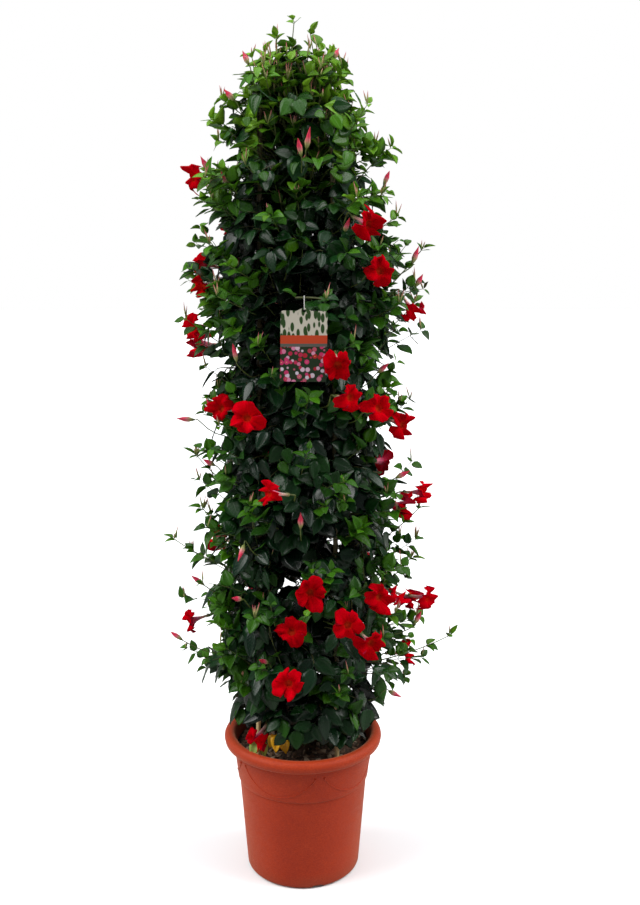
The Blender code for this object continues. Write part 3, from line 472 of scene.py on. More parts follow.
def makePotFinish():
    finish, tree, shader = newFinish(
        "Terracotta plastic",
        0.5,
        Specular_IOR_Level=0.24,
        Sheen_Weight=0.45,
        Sheen_Roughness=0.38,
        Sheen_Tint=(1.0, 0.50, 0.30, 1.0),
    )
    coarse = placeGroup(tree, mottleGroup, Patch_scale=9.0, Speck_scale=170.0, Speck_amount=0.05)
    fine = placeGroup(tree, mottleGroup, Patch_scale=70.0, Speck_scale=420.0, Speck_amount=0.25)
    dull, bright = (0.430, 0.0320, 0.0040), (0.500, 0.0450, 0.0085)
    clay = blendNode(tree, coarse.outputs["Patches"], opaque(dull), opaque(bright))
    faded = tinted(tree, clay, (1.22, 1.45, 1.75))
    clay = blendNode(tree, timesNode(tree, fine.outputs["Patches"], 0.28), clay, faded)
    speckle = placeGroup(tree, mottleGroup, Patch_scale=430.0, Speck_scale=700.0, Speck_amount=0.5)
    dusky = tinted(tree, clay, (0.72, 0.52, 0.50))
    clay = blendNode(tree, speckle.outputs["Patches"], clay, dusky)
    height = partsOf(tree, objectPlace(tree))[2]
    # Painted highlight: the rim bead is lighter and pinker towards its top, where the light falls on it
    rimHighlight = tinted(tree, clay, (1.04, 1.25, 1.10))
    clay = blendNode(tree, rangeNode(tree, height, 0.252, 0.270), clay, rimHighlight)
    dust = timesNode(tree, rangeNode(tree, height, 0.030, 0.0), 0.5)
    dust = timesNode(tree, dust, coarse.outputs["Patches"])
    clay = blendNode(tree, dust, clay, (0.20, 0.07, 0.035, 1.0))
    specks = timesNode(tree, coarse.outputs["Specks"], 0.8)
    clay = blendNode(tree, specks, clay, opaque((0.50, 0.22, 0.15)))
    tree.links.new(clay, shader.inputs["Base Color"])
    rough = mathNode(tree, "MULTIPLY_ADD", fine.outputs["Patches"], 0.16, 0.42)
    tree.links.new(rough, shader.inputs["Roughness"])
    grain = placeGroup(tree, grainGroup, Scale=1100.0, Roughness=0.6)
    setBump(tree, shader, grain.outputs["Height"], 0.0006, 0.9)
    return finish


def makeSoilFinish():
    finish, tree, shader = newFinish("Potting soil", 0.9)
    shade = attributeNode(tree, "shade")
    mottle = placeGroup(tree, mottleGroup, Patch_scale=130.0, Speck_scale=300.0, Speck_amount=0.45)
    damp, dry = (0.030, 0.016, 0.0095), (0.120, 0.068, 0.040)
    peat = blendNode(tree, mottle.outputs["Patches"], opaque(damp), opaque(dry))
    bark = rampNode(tree, shade, [
        (0.0, (0.035, 0.018, 0.010)),
        (0.6, (0.150, 0.078, 0.042)),
        (0.86, (0.260, 0.160, 0.095)),
        (1.0, (0.520, 0.410, 0.290)),
    ])
    peat = blendNode(tree, rangeNode(tree, shade, 0.0, 0.05), peat, bark)
    specks = timesNode(tree, mottle.outputs["Specks"], 0.7)
    peat = blendNode(tree, specks, peat, opaque((0.34, 0.25, 0.18)))
    tree.links.new(peat, shader.inputs["Base Color"])
    grain = placeGroup(tree, grainGroup, Scale=500.0, Roughness=0.8)
    setBump(tree, shader, grain.outputs["Height"], 0.003)
    return finish


def makeBambooFinish():
    finish, tree, shader = newFinish("Bamboo", 0.42)
    place = objectPlace(tree)
    narrow = shaderNode(tree, "ShaderNodeMapping", Vector=place, Scale=(900.0, 900.0, 14.0))
    fibre = shaderNode(tree, "ShaderNodeTexNoise", Vector=narrow.outputs[0], Scale=1.0, Detail=3.0)
    fibres = rangeNode(tree, fibre.outputs["Fac"], 0.3, 0.7)
    mottle = placeGroup(tree, mottleGroup, Patch_scale=30.0, Speck_scale=260.0, Speck_amount=0.5)
    # Painted shade: above the soil the cane is painted dark, partly weathering and partly the shade among
    # the leaves
    cane = blendNode(tree, fibres, (0.10, 0.080, 0.030, 1.0), (0.16, 0.130, 0.055, 1.0))
    patches = timesNode(tree, mottle.outputs["Patches"], 0.5)
    cane = blendNode(tree, patches, cane, opaque((0.060, 0.048, 0.020)))
    # Near the soil the cane is a bright tan, brightened as painted light against the shade it stands in
    fresh = blendNode(tree, fibres, (0.80, 0.60, 0.26, 1.0), (0.90, 0.74, 0.40, 1.0))
    height = partsOf(tree, place)[2]
    cane = blendNode(tree, rangeNode(tree, height, 0.42, 0.34), cane, fresh)
    tree.links.new(cane, shader.inputs["Base Color"])
    setBump(tree, shader, fibres, 0.0004, 0.6)
    return finish


leafFinish = makeLeafFinish()
twigFinish = makeTwigFinish()
petalFinish = makePetalFinish()
budFinish = makeBudFinish()
potFinish = makePotFinish()
soilFinish = makeSoilFinish()
bambooFinish = makeBambooFinish()
print("finishes made")

# A tree that sweeps a round section along every chain of edges, with the radius in "thick"


def makeSweepTree():
    inputs = [("Sides", "NodeSocketInt"), ("Thickness", "NodeSocketFloat"), ("Finish", "NodeSocketMaterial")]
    tree, start, end = newTree("Sweep along paths", inputs)
    paths = tree.nodes.new("GeometryNodeMeshToCurve")
    tree.links.new(start.outputs["Geometry"], paths.inputs["Mesh"])
    scaled = tree.nodes.new("ShaderNodeMath")
    scaled.operation = "MULTIPLY"
    tree.links.new(readAttribute(tree, "thick", "FLOAT"), scaled.inputs[0])
    tree.links.new(start.outputs["Thickness"], scaled.inputs[1])
    sized = tree.nodes.new("GeometryNodeSetCurveRadius")
    tree.links.new(paths.outputs["Curve"], sized.inputs["Curve"])
    tree.links.new(scaled.outputs[0], sized.inputs["Radius"])
    section = tree.nodes.new("GeometryNodeCurvePrimitiveCircle")
    section.inputs["Radius"].default_value = 1.0
    tree.links.new(start.outputs["Sides"], section.inputs["Resolution"])
    sweep = tree.nodes.new("GeometryNodeCurveToMesh")
    sweep.inputs["Fill Caps"].default_value = True
    tree.links.new(sized.outputs["Curve"], sweep.inputs["Curve"])
    tree.links.new(section.outputs["Curve"], sweep.inputs["Profile Curve"])
    if "Scale" in sweep.inputs:
        tree.links.new(scaled.outputs[0], sweep.inputs["Scale"])
    paintGeometry(tree, sweep.outputs["Mesh"], start, end)
    return tree


sweepTree = makeSweepTree()


def pathsMesh(paths):
    # each path is (points, radii, tone)
    points, edges, thick, tones = [], [], [], []
    for line, radii, tone in paths:
        first = len(points)
        points += [tuple(point) for point in line]
        thick += list(radii)
        tones += [tone] * len(line)
        edges += [(first + i, first + i + 1) for i in range(len(line) - 1)]
    mesh = bpy.data.meshes.new("paths")
    mesh.from_pydata(points, edges, [])
    setFloats(mesh, "thick", thick)
    setFloats(mesh, "tone", tones)
    return mesh


def sweptMesh(paths, sides, finish):
    values = {"Sides": sides, "Thickness": 1.0, "Finish": finish}
    mesh = grownMesh(pathsMesh(paths), sweepTree, values)
    mesh.shade_smooth()
    return mesh


# Pot

pot = {
    "rimRadius": 0.150,
    "rimTop": 0.272,
    "rimDepth": 0.022,
    "mouthRadius": 0.1285,
    "collarRadius": 0.1325,
    "collarFoot": 0.182,
    "baseRadius": 0.108,
    "footRound": 0.007,
    "wall": 0.003,
    "steps": 216,
    "drainAngle": -76.0,
    "drainCuts": 4,
    "drainWidth": 0.020,
    "drainHeight": 0.0055,
    "swags": 5,
    "swagAngle": -76.5,
    "swagPairHalf": 4.2,
    "swagTop": 0.2290,
    "swagDrop": 0.0385,
    "swagLine": 0.0009,
    "knob": 0.0023,
}


def collarOuter(height):
    share = (height - pot["collarFoot"]) / (pot["rimTop"] - pot["rimDepth"] - pot["collarFoot"])
    low = pot["collarRadius"] - 0.008
    return low + (pot["collarRadius"] - low) * share


def wallOuter(height):
    share = (height - pot["footRound"]) / (pot["collarFoot"] - pot["footRound"])
    return pot["baseRadius"] + (pot["collarRadius"] - 0.0105 - pot["baseRadius"]) * share


def innerRadius(height):
    floor = pot["baseRadius"] - pot["wall"]
    return floor + (pot["mouthRadius"] - floor) * (height - pot["wall"]) / (pot["rimTop"] - pot["wall"])


def potProfile():
    foot, radius = pot["footRound"], pot["baseRadius"]
    points = [(0.0, 0.0), (0.040, 0.0), (0.080, 0.0), (0.094, 0.0)]
    for turn in (90, 70, 50, 30, 12):
        angle = math.radians(turn)
        points.append((radius - foot + foot * math.cos(angle), foot - foot * math.sin(angle)))
    levels = [0.009 + (pot["collarFoot"] - 0.0012 - 0.009) * i / 14 for i in range(15)]
    points += [(wallOuter(level), level) for level in levels]
    step = collarOuter(pot["collarFoot"] + 0.002)
    points += [(step - 0.0016, pot["collarFoot"] - 0.0004), (step - 0.0004, pot["collarFoot"] + 0.0006)]
    under = pot["rimTop"] - pot["rimDepth"]
    low = pot["collarFoot"] + 0.002
    rise = under - 0.001 - pot["collarFoot"] - 0.002
    levels = [low + rise * i / 8 for i in range(9)]
    points += [(collarOuter(level), level) for level in levels]
    middle = pot["rimTop"] - pot["rimDepth"] / 2
    half = (pot["rimRadius"] - pot["mouthRadius"]) / 2
    points += [(pot["collarRadius"] + 0.0015, under + 0.0001), (pot["rimRadius"] - 0.008, under)]
    points += [(pot["rimRadius"] - 0.0045, under + 0.0006), (pot["rimRadius"] - 0.0015, under + 0.0035)]
    for turn in range(0, 181, 15):
        angle = math.radians(turn)
        ring = pot["rimRadius"] - half + half * math.cos(angle)
        points.append((ring, middle + pot["rimDepth"] / 2 * math.sin(angle)))
    levels = [middle - 0.006 - (middle - 0.006 - pot["wall"]) * i / 8 for i in range(9)]
    points += [(innerRadius(level), level) for level in levels]
    return points + [(0.05, pot["wall"]), (0.0, pot["wall"])]


def raiseDrainCuts(mesh):
    step = 360.0 / pot["drainCuts"]
    for vertex in mesh.vertices:
        reach = math.hypot(vertex.co.x, vertex.co.y)
        if vertex.co.z > pot["drainHeight"] or not 0.090 < reach < 0.115:
            continue
        angle = math.degrees(math.atan2(vertex.co.y, vertex.co.x))
        away = (angle - pot["drainAngle"] + step / 2) % step - step / 2
        if abs(math.radians(away)) * reach < pot["drainWidth"] / 2:
            vertex.co.z = pot["drainHeight"]


def swagPaths():
    paths, knobs, span = [], [], 360.0 / pot["swags"]
    for index in range(pot["swags"]):
        first = pot["swagAngle"] + span * index + pot["swagPairHalf"]
        last = pot["swagAngle"] + span * (index + 1) - pot["swagPairHalf"]
        line = []
        for i in range(41):
            share = i / 40
            height = pot["swagTop"] - pot["swagDrop"] * (4 * share * (1 - share)) ** 0.8
            point = direction(first + (last - first) * share) * (collarOuter(height) + 0.0001)
            line.append(point + raised(height))
        paths.append((line, [pot["swagLine"]] * len(line), 0.0))
        knobs += [first - 0.4, last + 0.4]
    return paths, knobs


def makePot():
    body = turnedMesh("flowerPot", potProfile(), pot["steps"])
    raiseDrainCuts(body)
    paths, knobs = swagPaths()
    swags = sweptMesh(paths, 8, potFinish)
    work = bmesh.new()
    work.from_mesh(body)
    work.from_mesh(swags)
    for angle in knobs:
        level = pot["swagTop"] + 0.002
        place = direction(angle) * (collarOuter(level) + 0.0002) + raised(level)
        bmesh.ops.create_uvsphere(
            work, u_segments=12, v_segments=8, radius=pot["knob"], matrix=Matrix.Translation(place)
        )
    for face in work.faces:
        face.smooth = True
        face.material_index = 0
    work.to_mesh(body)
    work.free()
    body.materials.clear()
    addPiece("flowerPot", body, potFinish, "pot")


makePot()
print("pot made")

# Soil, with chips of bark strewn by a tree

soil = {
    "level": 0.243,
    "mound": 0.008,
    "rings": 34,
    "steps": 110,
    "lumps": 0.0045,
    "chipDensity": 15000.0,
    "chipSize": 0.0062,
    "chipSeed": 11,
}


def makeSoilMesh():
    edge = innerRadius(soil["level"]) - 0.0004
    rings, steps = soil["rings"], soil["steps"]
    points, faces = [], []
    for ring in range(1, rings + 1):
        share = ring / rings
        for i in range(steps):
            x, y, _ = ringPoint(edge * share, 2 * math.pi * i / steps, 0.0)
            lump = noise.fractal((x * 60, y * 60, 0.3), 0.7, 2.1, 5)
            fade = min(1.0, (1.0 - share) * 8)
            height = soil["level"] + soil["mound"] * (1 - share * share) + soil["lumps"] * lump * fade
            points.append((x, y, height))
    top = len(points)
    points.append((0.0, 0.0, soil["level"] + soil["mound"]))
    low = len(points)
    floor = pot["wall"] + 0.0004
    reach = innerRadius(floor) - 0.0006
    points += [ringPoint(reach, 2 * math.pi * i / steps, floor) for i in range(steps)]
    points.append((0.0, 0.0, floor))
    for i in range(steps):
        after = (i + 1) % steps
        faces.append((top, i, after))
        for ring in range(rings - 1):
            inner, outer = ring * steps, (ring + 1) * steps
            faces.append((inner + i, outer + i, outer + after, inner + after))
        rim = (rings - 1) * steps
        faces.append((rim + i, low + i, low + after, rim + after))
        faces.append((low + i, len(points) - 1, low + after))
    mesh = newMesh("pottingSoil", points, faces)
    mesh.shade_smooth()
    return mesh


def makeChipShape():
    # a flat broken flake of bark
    mesh = bpy.data.meshes.new("bark flake")
    work = bmesh.new()
    bmesh.ops.create_icosphere(work, subdivisions=1, radius=1.0)
    rng = random.Random("bark flake")
    for vertex in work.verts:
        vertex.co *= rng.uniform(0.65, 1.15)
        vertex.co.z *= 0.38
        vertex.co.x *= 1.5
    bmesh.ops.recalc_face_normals(work, faces=work.faces)
    work.to_mesh(mesh)
    work.free()
    return bpy.data.objects.new("bark flake", mesh)


def randomNode(tree, kind, low, high, seed):
    made = tree.nodes.new("FunctionNodeRandomValue")
    made.data_type = kind
    pair = {"FLOAT_VECTOR": (0, 1), "FLOAT": (2, 3)}[kind]
    made.inputs[pair[0]].default_value = low
    made.inputs[pair[1]].default_value = high
    tree.links.new(seed, made.inputs["Seed"])
    return made.outputs[{"FLOAT_VECTOR": 0, "FLOAT": 1}[kind]]


def makeChipTree():
    inputs = [
        ("Chip", "NodeSocketObject"),
        ("Density", "NodeSocketFloat"),
        ("Chip size", "NodeSocketFloat"),
        ("Seed", "NodeSocketInt"),
        ("Finish", "NodeSocketMaterial"),
    ]
    tree, start, end = newTree("Strewn chips", inputs)
    spread = tree.nodes.new("GeometryNodeDistributePointsOnFaces")
    facing = tree.nodes.new("GeometryNodeInputNormal")
    upright = tree.nodes.new("ShaderNodeSeparateXYZ")
    tree.links.new(facing.outputs[0], upright.inputs[0])
    above = tree.nodes.new("FunctionNodeCompare")
    above.inputs[1].default_value = 0.3
    tree.links.new(upright.outputs[2], above.inputs[0])
    tree.links.new(above.outputs[0], spread.inputs["Selection"])
    tree.links.new(start.outputs["Geometry"], spread.inputs["Mesh"])
    tree.links.new(start.outputs["Density"], spread.inputs["Density"])
    tree.links.new(start.outputs["Seed"], spread.inputs["Seed"])
    chip = tree.nodes.new("GeometryNodeObjectInfo")
    tree.links.new(start.outputs["Chip"], chip.inputs["Object"])
    strewn = tree.nodes.new("GeometryNodeInstanceOnPoints")
    tree.links.new(spread.outputs["Points"], strewn.inputs["Points"])
    tree.links.new(chip.outputs["Geometry"], strewn.inputs["Instance"])
    turn = randomNode(tree, "FLOAT_VECTOR", (-0.7, -0.7, 0.0), (0.7, 0.7, 6.28), start.outputs["Seed"])
    tree.links.new(turn, strewn.inputs["Rotation"])
    spreadSize = randomNode(tree, "FLOAT", 0.3, 1.0, start.outputs["Seed"])
    size = tree.nodes.new("ShaderNodeMath")
    size.operation = "MULTIPLY"
    tree.links.new(spreadSize, size.inputs[0])
    tree.links.new(start.outputs["Chip size"], size.inputs[1])
    tree.links.new(size.outputs[0], strewn.inputs["Scale"])
    marked = tree.nodes.new("GeometryNodeStoreNamedAttribute")
    marked.domain = "INSTANCE"
    marked.inputs["Name"].default_value = "shade"
    tree.links.new(strewn.outputs["Instances"], marked.inputs["Geometry"])
    tree.links.new(randomNode(tree, "FLOAT", 0.06, 1.0, start.outputs["Seed"]), marked.inputs["Value"])
    paintGeometry(tree, marked.outputs["Geometry"], start, end)
    return tree


def makeSoil():
    ground = makeSoilMesh()
    chip = makeChipShape()
    values = {
        "Chip": chip,
        "Density": soil["chipDensity"],
        "Chip size": soil["chipSize"],
        "Seed": soil["chipSeed"],
        "Finish": soilFinish,
    }
    top = ground.copy()
    work = bmesh.new()
    work.from_mesh(top)
    buried = [v for v in work.verts if v.co.z < soil["level"] - 0.02]
    bmesh.ops.delete(work, geom=buried, context="VERTS")
    work.to_mesh(top)
    work.free()
    chips = grownMesh(top, makeChipTree(), values)
    bpy.data.objects.remove(chip)
    edge = innerRadius(soil["level"]) - 0.001
    work = bmesh.new()
    work.from_mesh(chips)
    out = [v for v in work.verts if math.hypot(v.co.x, v.co.y) > edge]
    for vertex in out:
        pull = edge / math.hypot(vertex.co.x, vertex.co.y)
        vertex.co.x *= pull
        vertex.co.y *= pull
    work.to_mesh(chips)
    work.free()
    addPiece("pottingSoil", ground, soilFinish, "soil")
    print("bark", len(chips.polygons))
    addPiece("barkChips", chips, soilFinish)


makeSoil()
print("soil made")

# Bamboo canes

canes = {
    "count": 4,
    "radius": 0.0044,
    "knotRadius": 0.0052,
    "footLevel": 0.120,
    "topLevel": 1.400,
    "reachAtSoil": 0.104,
    "reachAtTop": 0.086,
    "knots": 4,
    "sides": 20,
    "firstAngle": -53.0,
}


def caneAngle(index):
    return canes["firstAngle"] + 360.0 / canes["count"] * index


def canePlace(index):
    angle = caneAngle(index)
    lean = (canes["reachAtTop"] - canes["reachAtSoil"]) / (canes["topLevel"] - soil["level"])
    foot = direction(angle) * (canes["reachAtSoil"] - lean * (soil["level"] - canes["footLevel"]))
    foot.z = canes["footLevel"]
    tilt = Matrix.Rotation(math.atan(lean), 4, "Y")
    return Matrix.Translation(foot) @ Matrix.Rotation(math.radians(angle), 4, "Z") @ tilt


def makeCanes():
    length = canes["topLevel"] - canes["footLevel"]
    spacing = length / (canes["knots"] + 0.4)
    profile = [(0.0, 0.0), (0.0030, 0.0), (canes["radius"], 0.0008)]
    for knot in range(canes["knots"]):
        level = spacing * (knot + 0.7)
        for drop, share in ((-0.016, 0.0), (-0.006, 0.15), (-0.002, 0.75), (0.0, 1.0), (0.0016, 0.45)):
            profile.append((canes["radius"] + (canes["knotRadius"] - canes["radius"]) * share, level + drop))
        profile += [(canes["radius"] - 0.0003, level + 0.0030), (canes["radius"], level + 0.012)]
    profile += [(canes["radius"], length - 0.0006), (canes["radius"] - 0.0006, length), (0.0, length)]
    work = bmesh.new()
    for index in range(canes["count"]):
        cane = turnedMesh("cane", profile, canes["sides"])
        cane.transform(canePlace(index))
        work.from_mesh(cane)
    mesh = bpy.data.meshes.new("bambooCanes")
    work.to_mesh(mesh)
    work.free()
    addPiece("bambooCanes", mesh, bambooFinish, *[f"cane_{i + 1}" for i in range(canes["count"])])


makeCanes()
print("canes made")

# How the plant grows. Height, and the reach of the leaves on the left and on the right

vines = {
    "count": 8,
    "margin": 0.0008,
    "caneMargin": 0.0068,
    "coreShare": 0.66,
    "coreLimit": 0.118,
    "rootSink": 0.030,
    "stemRadius": 0.0030,
    "stemReach": 0.068,
    "stemSink": 0.035,
    "stemTop": 0.350,
    "twigRadius": 0.0015,
    "twigLevels": 12,
    "lowestTwig": 0.312,
    "highestTwig": 1.345,
    "crownTwigs": 2,
    "highestRoot": 1.385,
    "lowestRoot": 0.335,
}
span = 360.0 / vines["count"]
towerReach = (
    (0.25, 0.150, 0.150),
    (0.35, 0.158, 0.172),
    (0.43, 0.222, 0.228),
    (0.52, 0.205, 0.200),
    (0.60, 0.190, 0.185),
    (0.70, 0.168, 0.178),
    (0.82, 0.184, 0.180),
    (0.92, 0.180, 0.160),
    (1.02, 0.194, 0.172),
    (1.12, 0.200, 0.205),
    (1.19, 0.188, 0.160),
    (1.30, 0.172, 0.148),
    (1.40, 0.138, 0.118),
    (1.47, 0.110, 0.080),
    (1.53, 0.045, 0.040),
)
leaves = {
    "lengthLow": 0.054,
    "lengthHigh": 0.036,
    "widthShare": 0.50,
    "droop": 0.10,
    "shootLeaf": 0.026,
    "shootRise": 0.040,
    "shootSag": 0.010,
    "nodeShare": 0.05,
    "pathParts": 8,
    "tries": 16,
    "spacing": 0.42,
}

# Flowers: side, depth and height of the face, where it looks (angle and rise), radius
flowers = {
    "count": 40,
    "tubeLength": 0.046,
    "tubeRadius": 0.0024,
    "throatRadius": 0.0085,
    "backRadius": 0.036,
}
frontFlowers = (
    (-0.196, -0.040, 1.289, -165, 5, 0.034),
    (0.118, -0.151, 1.198, -28, -30, 0.034),
    (0.130, -0.165, 1.131, -70, 0, 0.036),
    (0.205, -0.030, 1.062, -20, -45, 0.030),
    (-0.200, -0.035, 1.035, -160, -5, 0.034),
    (-0.185, 0.035, 1.144, 165, 5, 0.033),
    (-0.188, -0.020, 1.098, -150, -20, 0.026),
    (0.058, -0.228, 0.990, -85, -15, 0.034),
    (0.084, -0.196, 0.930, -50, 0, 0.033),
    (0.142, -0.150, 0.914, -40, 20, 0.034),
    (0.190, -0.075, 0.868, -30, -10, 0.036),
    (-0.096, -0.196, 0.896, -105, 10, 0.039),
    (-0.150, -0.118, 0.905, -140, 10, 0.032),
    (-0.066, -0.190, 0.777, -170, 10, 0.030),
    (0.180, -0.070, 0.726, 30, -10, 0.032),
    (0.228, -0.025, 0.744, -15, 10, 0.030),
    (0.012, -0.214, 0.608, -86, 0, 0.038),
    (0.133, -0.174, 0.589, -60, 10, 0.036),
    (0.172, -0.085, 0.566, 20, 35, 0.030),
    (0.210, 0.010, 0.532, 10, -15, 0.026),
    (0.238, -0.050, 0.552, -12, 5, 0.034),
    (-0.021, -0.192, 0.531, -95, 35, 0.036),
    (0.080, -0.208, 0.552, -80, 10, 0.036),
    (0.124, -0.190, 0.508, -60, -10, 0.034),
    (-0.218, -0.030, 0.502, -170, -5, 0.032),
    (-0.023, -0.212, 0.451, -98, 5, 0.037),
    (-0.086, -0.106, 0.292, -125, -35, 0.025),
)

# Buds: side, depth and height of the tip, its heading and rise, length
frontBuds = (
    (0.013, -0.140, 1.352, -60, 70, 0.028),
    (-0.004, -0.150, 1.335, -110, 60, 0.024),
    (-0.166, -0.060, 1.318, -170, 60, 0.022),
    (-0.131, -0.080, 1.292, -150, 60, 0.020),
    (0.077, -0.130, 1.214, -50, 60, 0.022),
    (0.146, -0.070, 1.294, -30, 65, 0.020),
    (0.200, -0.045, 1.170, 0, 70, 0.026),
    (0.207, -0.050, 1.124, -10, 60, 0.020),
    (-0.094, -0.060, 1.486, 170, 65, 0.020),
    (-0.026, -0.020, 1.538, 120, 75, 0.018),
    (0.062, -0.030, 1.498, 20, 60, 0.018),
    (-0.124, -0.070, 1.425, -170, 45, 0.020),
    (-0.112, -0.150, 1.010, -120, 70, 0.026),
    (-0.216, -0.040, 0.876, -175, 5, 0.026),
    (-0.162, -0.090, 0.914, -160, 60, 0.022),
    (0.144, -0.100, 0.976, -30, 40, 0.022),
    (-0.170, -0.070, 0.806, -160, 30, 0.020),
    (-0.003, -0.178, 0.732, -90, 65, 0.028),
    (-0.107, -0.160, 0.655, -120, -50, 0.026),
    (0.182, -0.100, 0.790, -20, 30, 0.024),
    (-0.118, -0.150, 0.580, -130, 20, 0.022),
    (-0.196, -0.060, 0.590, -170, 40, 0.024),
    (-0.072, -0.170, 0.475, -120, 30, 0.026),
    (0.214, -0.060, 0.520, -15, 65, 0.024),
    (0.178, -0.060, 0.360, -20, -20, 0.022),
    (-0.242, -0.020, 0.470, 175, 35, 0.022),
)

# Shoots that stand out of the tower: side, depth and height of the tip, drop to its foot
shoots = (
    (-0.236, -0.010, 0.648, 0.030),
    (-0.178, -0.055, 0.716, 0.040),
    (-0.196, 0.020, 0.800, 0.050),
    (0.212, -0.015, 1.172, 0.080),
    (0.204, 0.030, 1.076, 0.060),
    (0.220, 0.035, 0.694, 0.050),
    (0.276, -0.010, 0.458, 0.020),
    (0.206, 0.030, 0.598, 0.050),
    (-0.011, -0.019, 1.546, 0.100),
    (0.016, -0.010, 1.530, 0.100),
    (-0.085, 0.030, 1.500, 0.080),
    (0.052, 0.040, 1.505, 0.080),
    (-0.040, -0.060, 1.510, 0.090),
    (0.030, 0.262, 0.760, 0.050),
    (-0.130, 0.200, 1.140, 0.070),
    (0.140, 0.205, 0.520, 0.040),
)
card = {"width": 0.074, "height": 0.112, "hump": 0.004, "top": 1.0715, "side": 0.004, "depth": -0.2110}
tie = {"spread": 0.0028, "wire": 0.0006, "twigRadius": 0.0014}


def vineAngle(vine):
    return canes["firstAngle"] + span * vine


def insideSpan(vine, point, margin=vines["margin"]):
    first, last = math.radians(vineAngle(vine)), math.radians(vineAngle(vine + 1))
    fromFirst = math.cos(first) * point.y - math.sin(first) * point.x
    fromLast = math.sin(last) * point.x - math.cos(last) * point.y
    return min(fromFirst, fromLast) > margin


def reachAt(height, angle, table=towerReach):
    right = 0.5 + 0.5 * math.cos(math.radians(angle))
    height = min(max(height, table[0][0]), table[-1][0])
    for lower, upper in zip(table, table[1:]):
        if height <= upper[0]:
            share = (height - lower[0]) / (upper[0] - lower[0])
            onLeft = lower[1] + (upper[1] - lower[1]) * share
            onRight = lower[2] + (upper[2] - lower[2]) * share
            return onLeft + (onRight - onLeft) * right
    return table[-1][1]


def angleOf(point):
    return math.degrees(math.atan2(point.y, point.x))


def flatReach(point):
    return math.hypot(point.x, point.y)


def coreReach(height, angle):
    return min(reachAt(height, angle) * vines["coreShare"], vines["coreLimit"])


def rootReach(height, angle):
    return coreReach(height, angle) - vines["rootSink"]


def rootHeight(height):
    return min(max(height, vines["lowestRoot"]), vines["highestRoot"])


def flowerRows():
    rows = []
    for x, y, z, angle, rise, radius in frontFlowers:
        rows.append((Vector((x, y, z)), direction(angle, rise), radius))
    rest = flowers["count"] - len(frontFlowers)
    for index in range(rest):
        height = 0.40 + 0.90 * ((index * 5) % rest) / (rest - 1)
        angle = 22.0 + 138.0 * index / (rest - 1)
        face = direction(angle) * (reachAt(height, angle) + 0.014)
        face.z = height
        tilt = direction(angle + 14 * math.sin(index * 2.1), 8 * math.cos(index * 1.7))
        rows.append((face, tilt, flowers["backRadius"]))
    return rows


flowerPlaces = flowerRows()


def clearOfFlowers(point, margin=0.004):
    tube = flowers["tubeLength"]
    for face, axis, radius in flowerPlaces:
        if abs(point.z - face.z) > 0.075:
            continue
        along = (point - face).dot(axis)
        if along < -tube - margin or along > 0.006 + margin:
            continue
        aside = (point - face - axis * along).length
        limit = radius if along > -0.32 * tube else flowers["throatRadius"]
        if aside < limit + margin:
            return False
    return True


def clearOfTag(point, margin=0.003):
    side = abs(point.x - card["side"])
    belowTop = card["top"] + card["hump"] + margin - point.z
    onCard = side < card["width"] / 2 + 0.002 + margin and 0 < belowTop < card["height"] + 0.008 + 2 * margin
    if onCard and abs(point.y - card["depth"]) < 0.0015 + margin:
        return False
    onTie = side < 0.003 + margin and card["top"] - 0.01 < point.z < card["top"] + 0.03
    return not (onTie and abs(point.y - card["depth"]) < tie["spread"] + 0.001 + margin)


def clearOfCanes(point, margin=0.003):
    if not canes["footLevel"] < point.z < canes["topLevel"] + margin:
        return True
    share = (point.z - soil["level"]) / (canes["topLevel"] - soil["level"])
    reach = canes["reachAtSoil"] + (canes["reachAtTop"] - canes["reachAtSoil"]) * share
    for index in range(canes["count"]):
        middle = direction(caneAngle(index)) * reach
        if math.hypot(point.x - middle.x, point.y - middle.y) < canes["knotRadius"] + margin:
            return False
    return True


def clearOfPot(point):
    reach = flatReach(point)
    if reach > pot["rimRadius"] + 0.003:
        return point.z > pot["rimTop"] - pot["rimDepth"]
    return point.z > (pot["rimTop"] + 0.003 if reach > pot["mouthRadius"] - 0.006 else soil["level"] + 0.015)


def hasRoom(vine, point):
    return (
        insideSpan(vine, point)
        and clearOfPot(point)
        and clearOfCanes(point)
        and clearOfTag(point)
        and clearOfFlowers(point)
    )


# A leaf is (foot, heading, face, length, width)


def leafGrid(leaf):
    foot, heading, face, length, width = leaf
    across = heading.cross(face)
    points = []
    for along, half in ((0.15, 0.1), (0.36, 0.5), (0.55, 0.48), (0.72, 0.36), (0.88, 0.15), (1.0, 0.0)):
        middle = foot + heading * (along * length) - face * (leaves["droop"] * length * along * along)
        for side in (-half, 0.0, half):
            points.append(middle + across * (side * width))
    return points


def aimLeaf(rng, foot, outward, side, youth, size):
    tangent = sideways(outward)
    up = raised(1.0)
    old = outward * rng.uniform(0.15, 0.75) - up * rng.uniform(0.30, 0.90)
    young = outward * rng.uniform(0.3, 0.9) + up * rng.uniform(0.1, 0.9)
    heading = old.lerp(young, youth) + tangent * (side * rng.uniform(0.45, 1.0))
    heading.normalize()
    face = (outward * (1.0 - 0.5 * youth) + up * (0.35 + 0.9 * youth)).normalized()
    face = face + tangent * rng.uniform(-0.3, 0.3)
    face = squared(face, heading)
    length = size * rng.uniform(0.86, 1.12)
    return foot, heading, face, length, length * leaves["widthShare"] * rng.uniform(0.9, 1.1)


def findLeaf(rng, vine, plant, foot, side, youth, size, slack=0.010):
    outward = direction(angleOf(foot))
    for _ in range(leaves["tries"]):
        leaf = aimLeaf(rng, foot, outward, side, youth, size)
        grid = leafGrid(leaf)
        tip, middle = grid[-1], grid[7]
        if flatReach(tip) > reachAt(tip.z, angleOf(tip)) + slack:
            continue
        if tip.z > towerReach[-1][0] + slack:
            continue
        if any((middle - other).length < leaves["spacing"] * size for other in plant["middles"]):
            continue
        if all(hasRoom(vine, point) for point in grid):
            plant["middles"].append(middle)
            return leaf
    return None


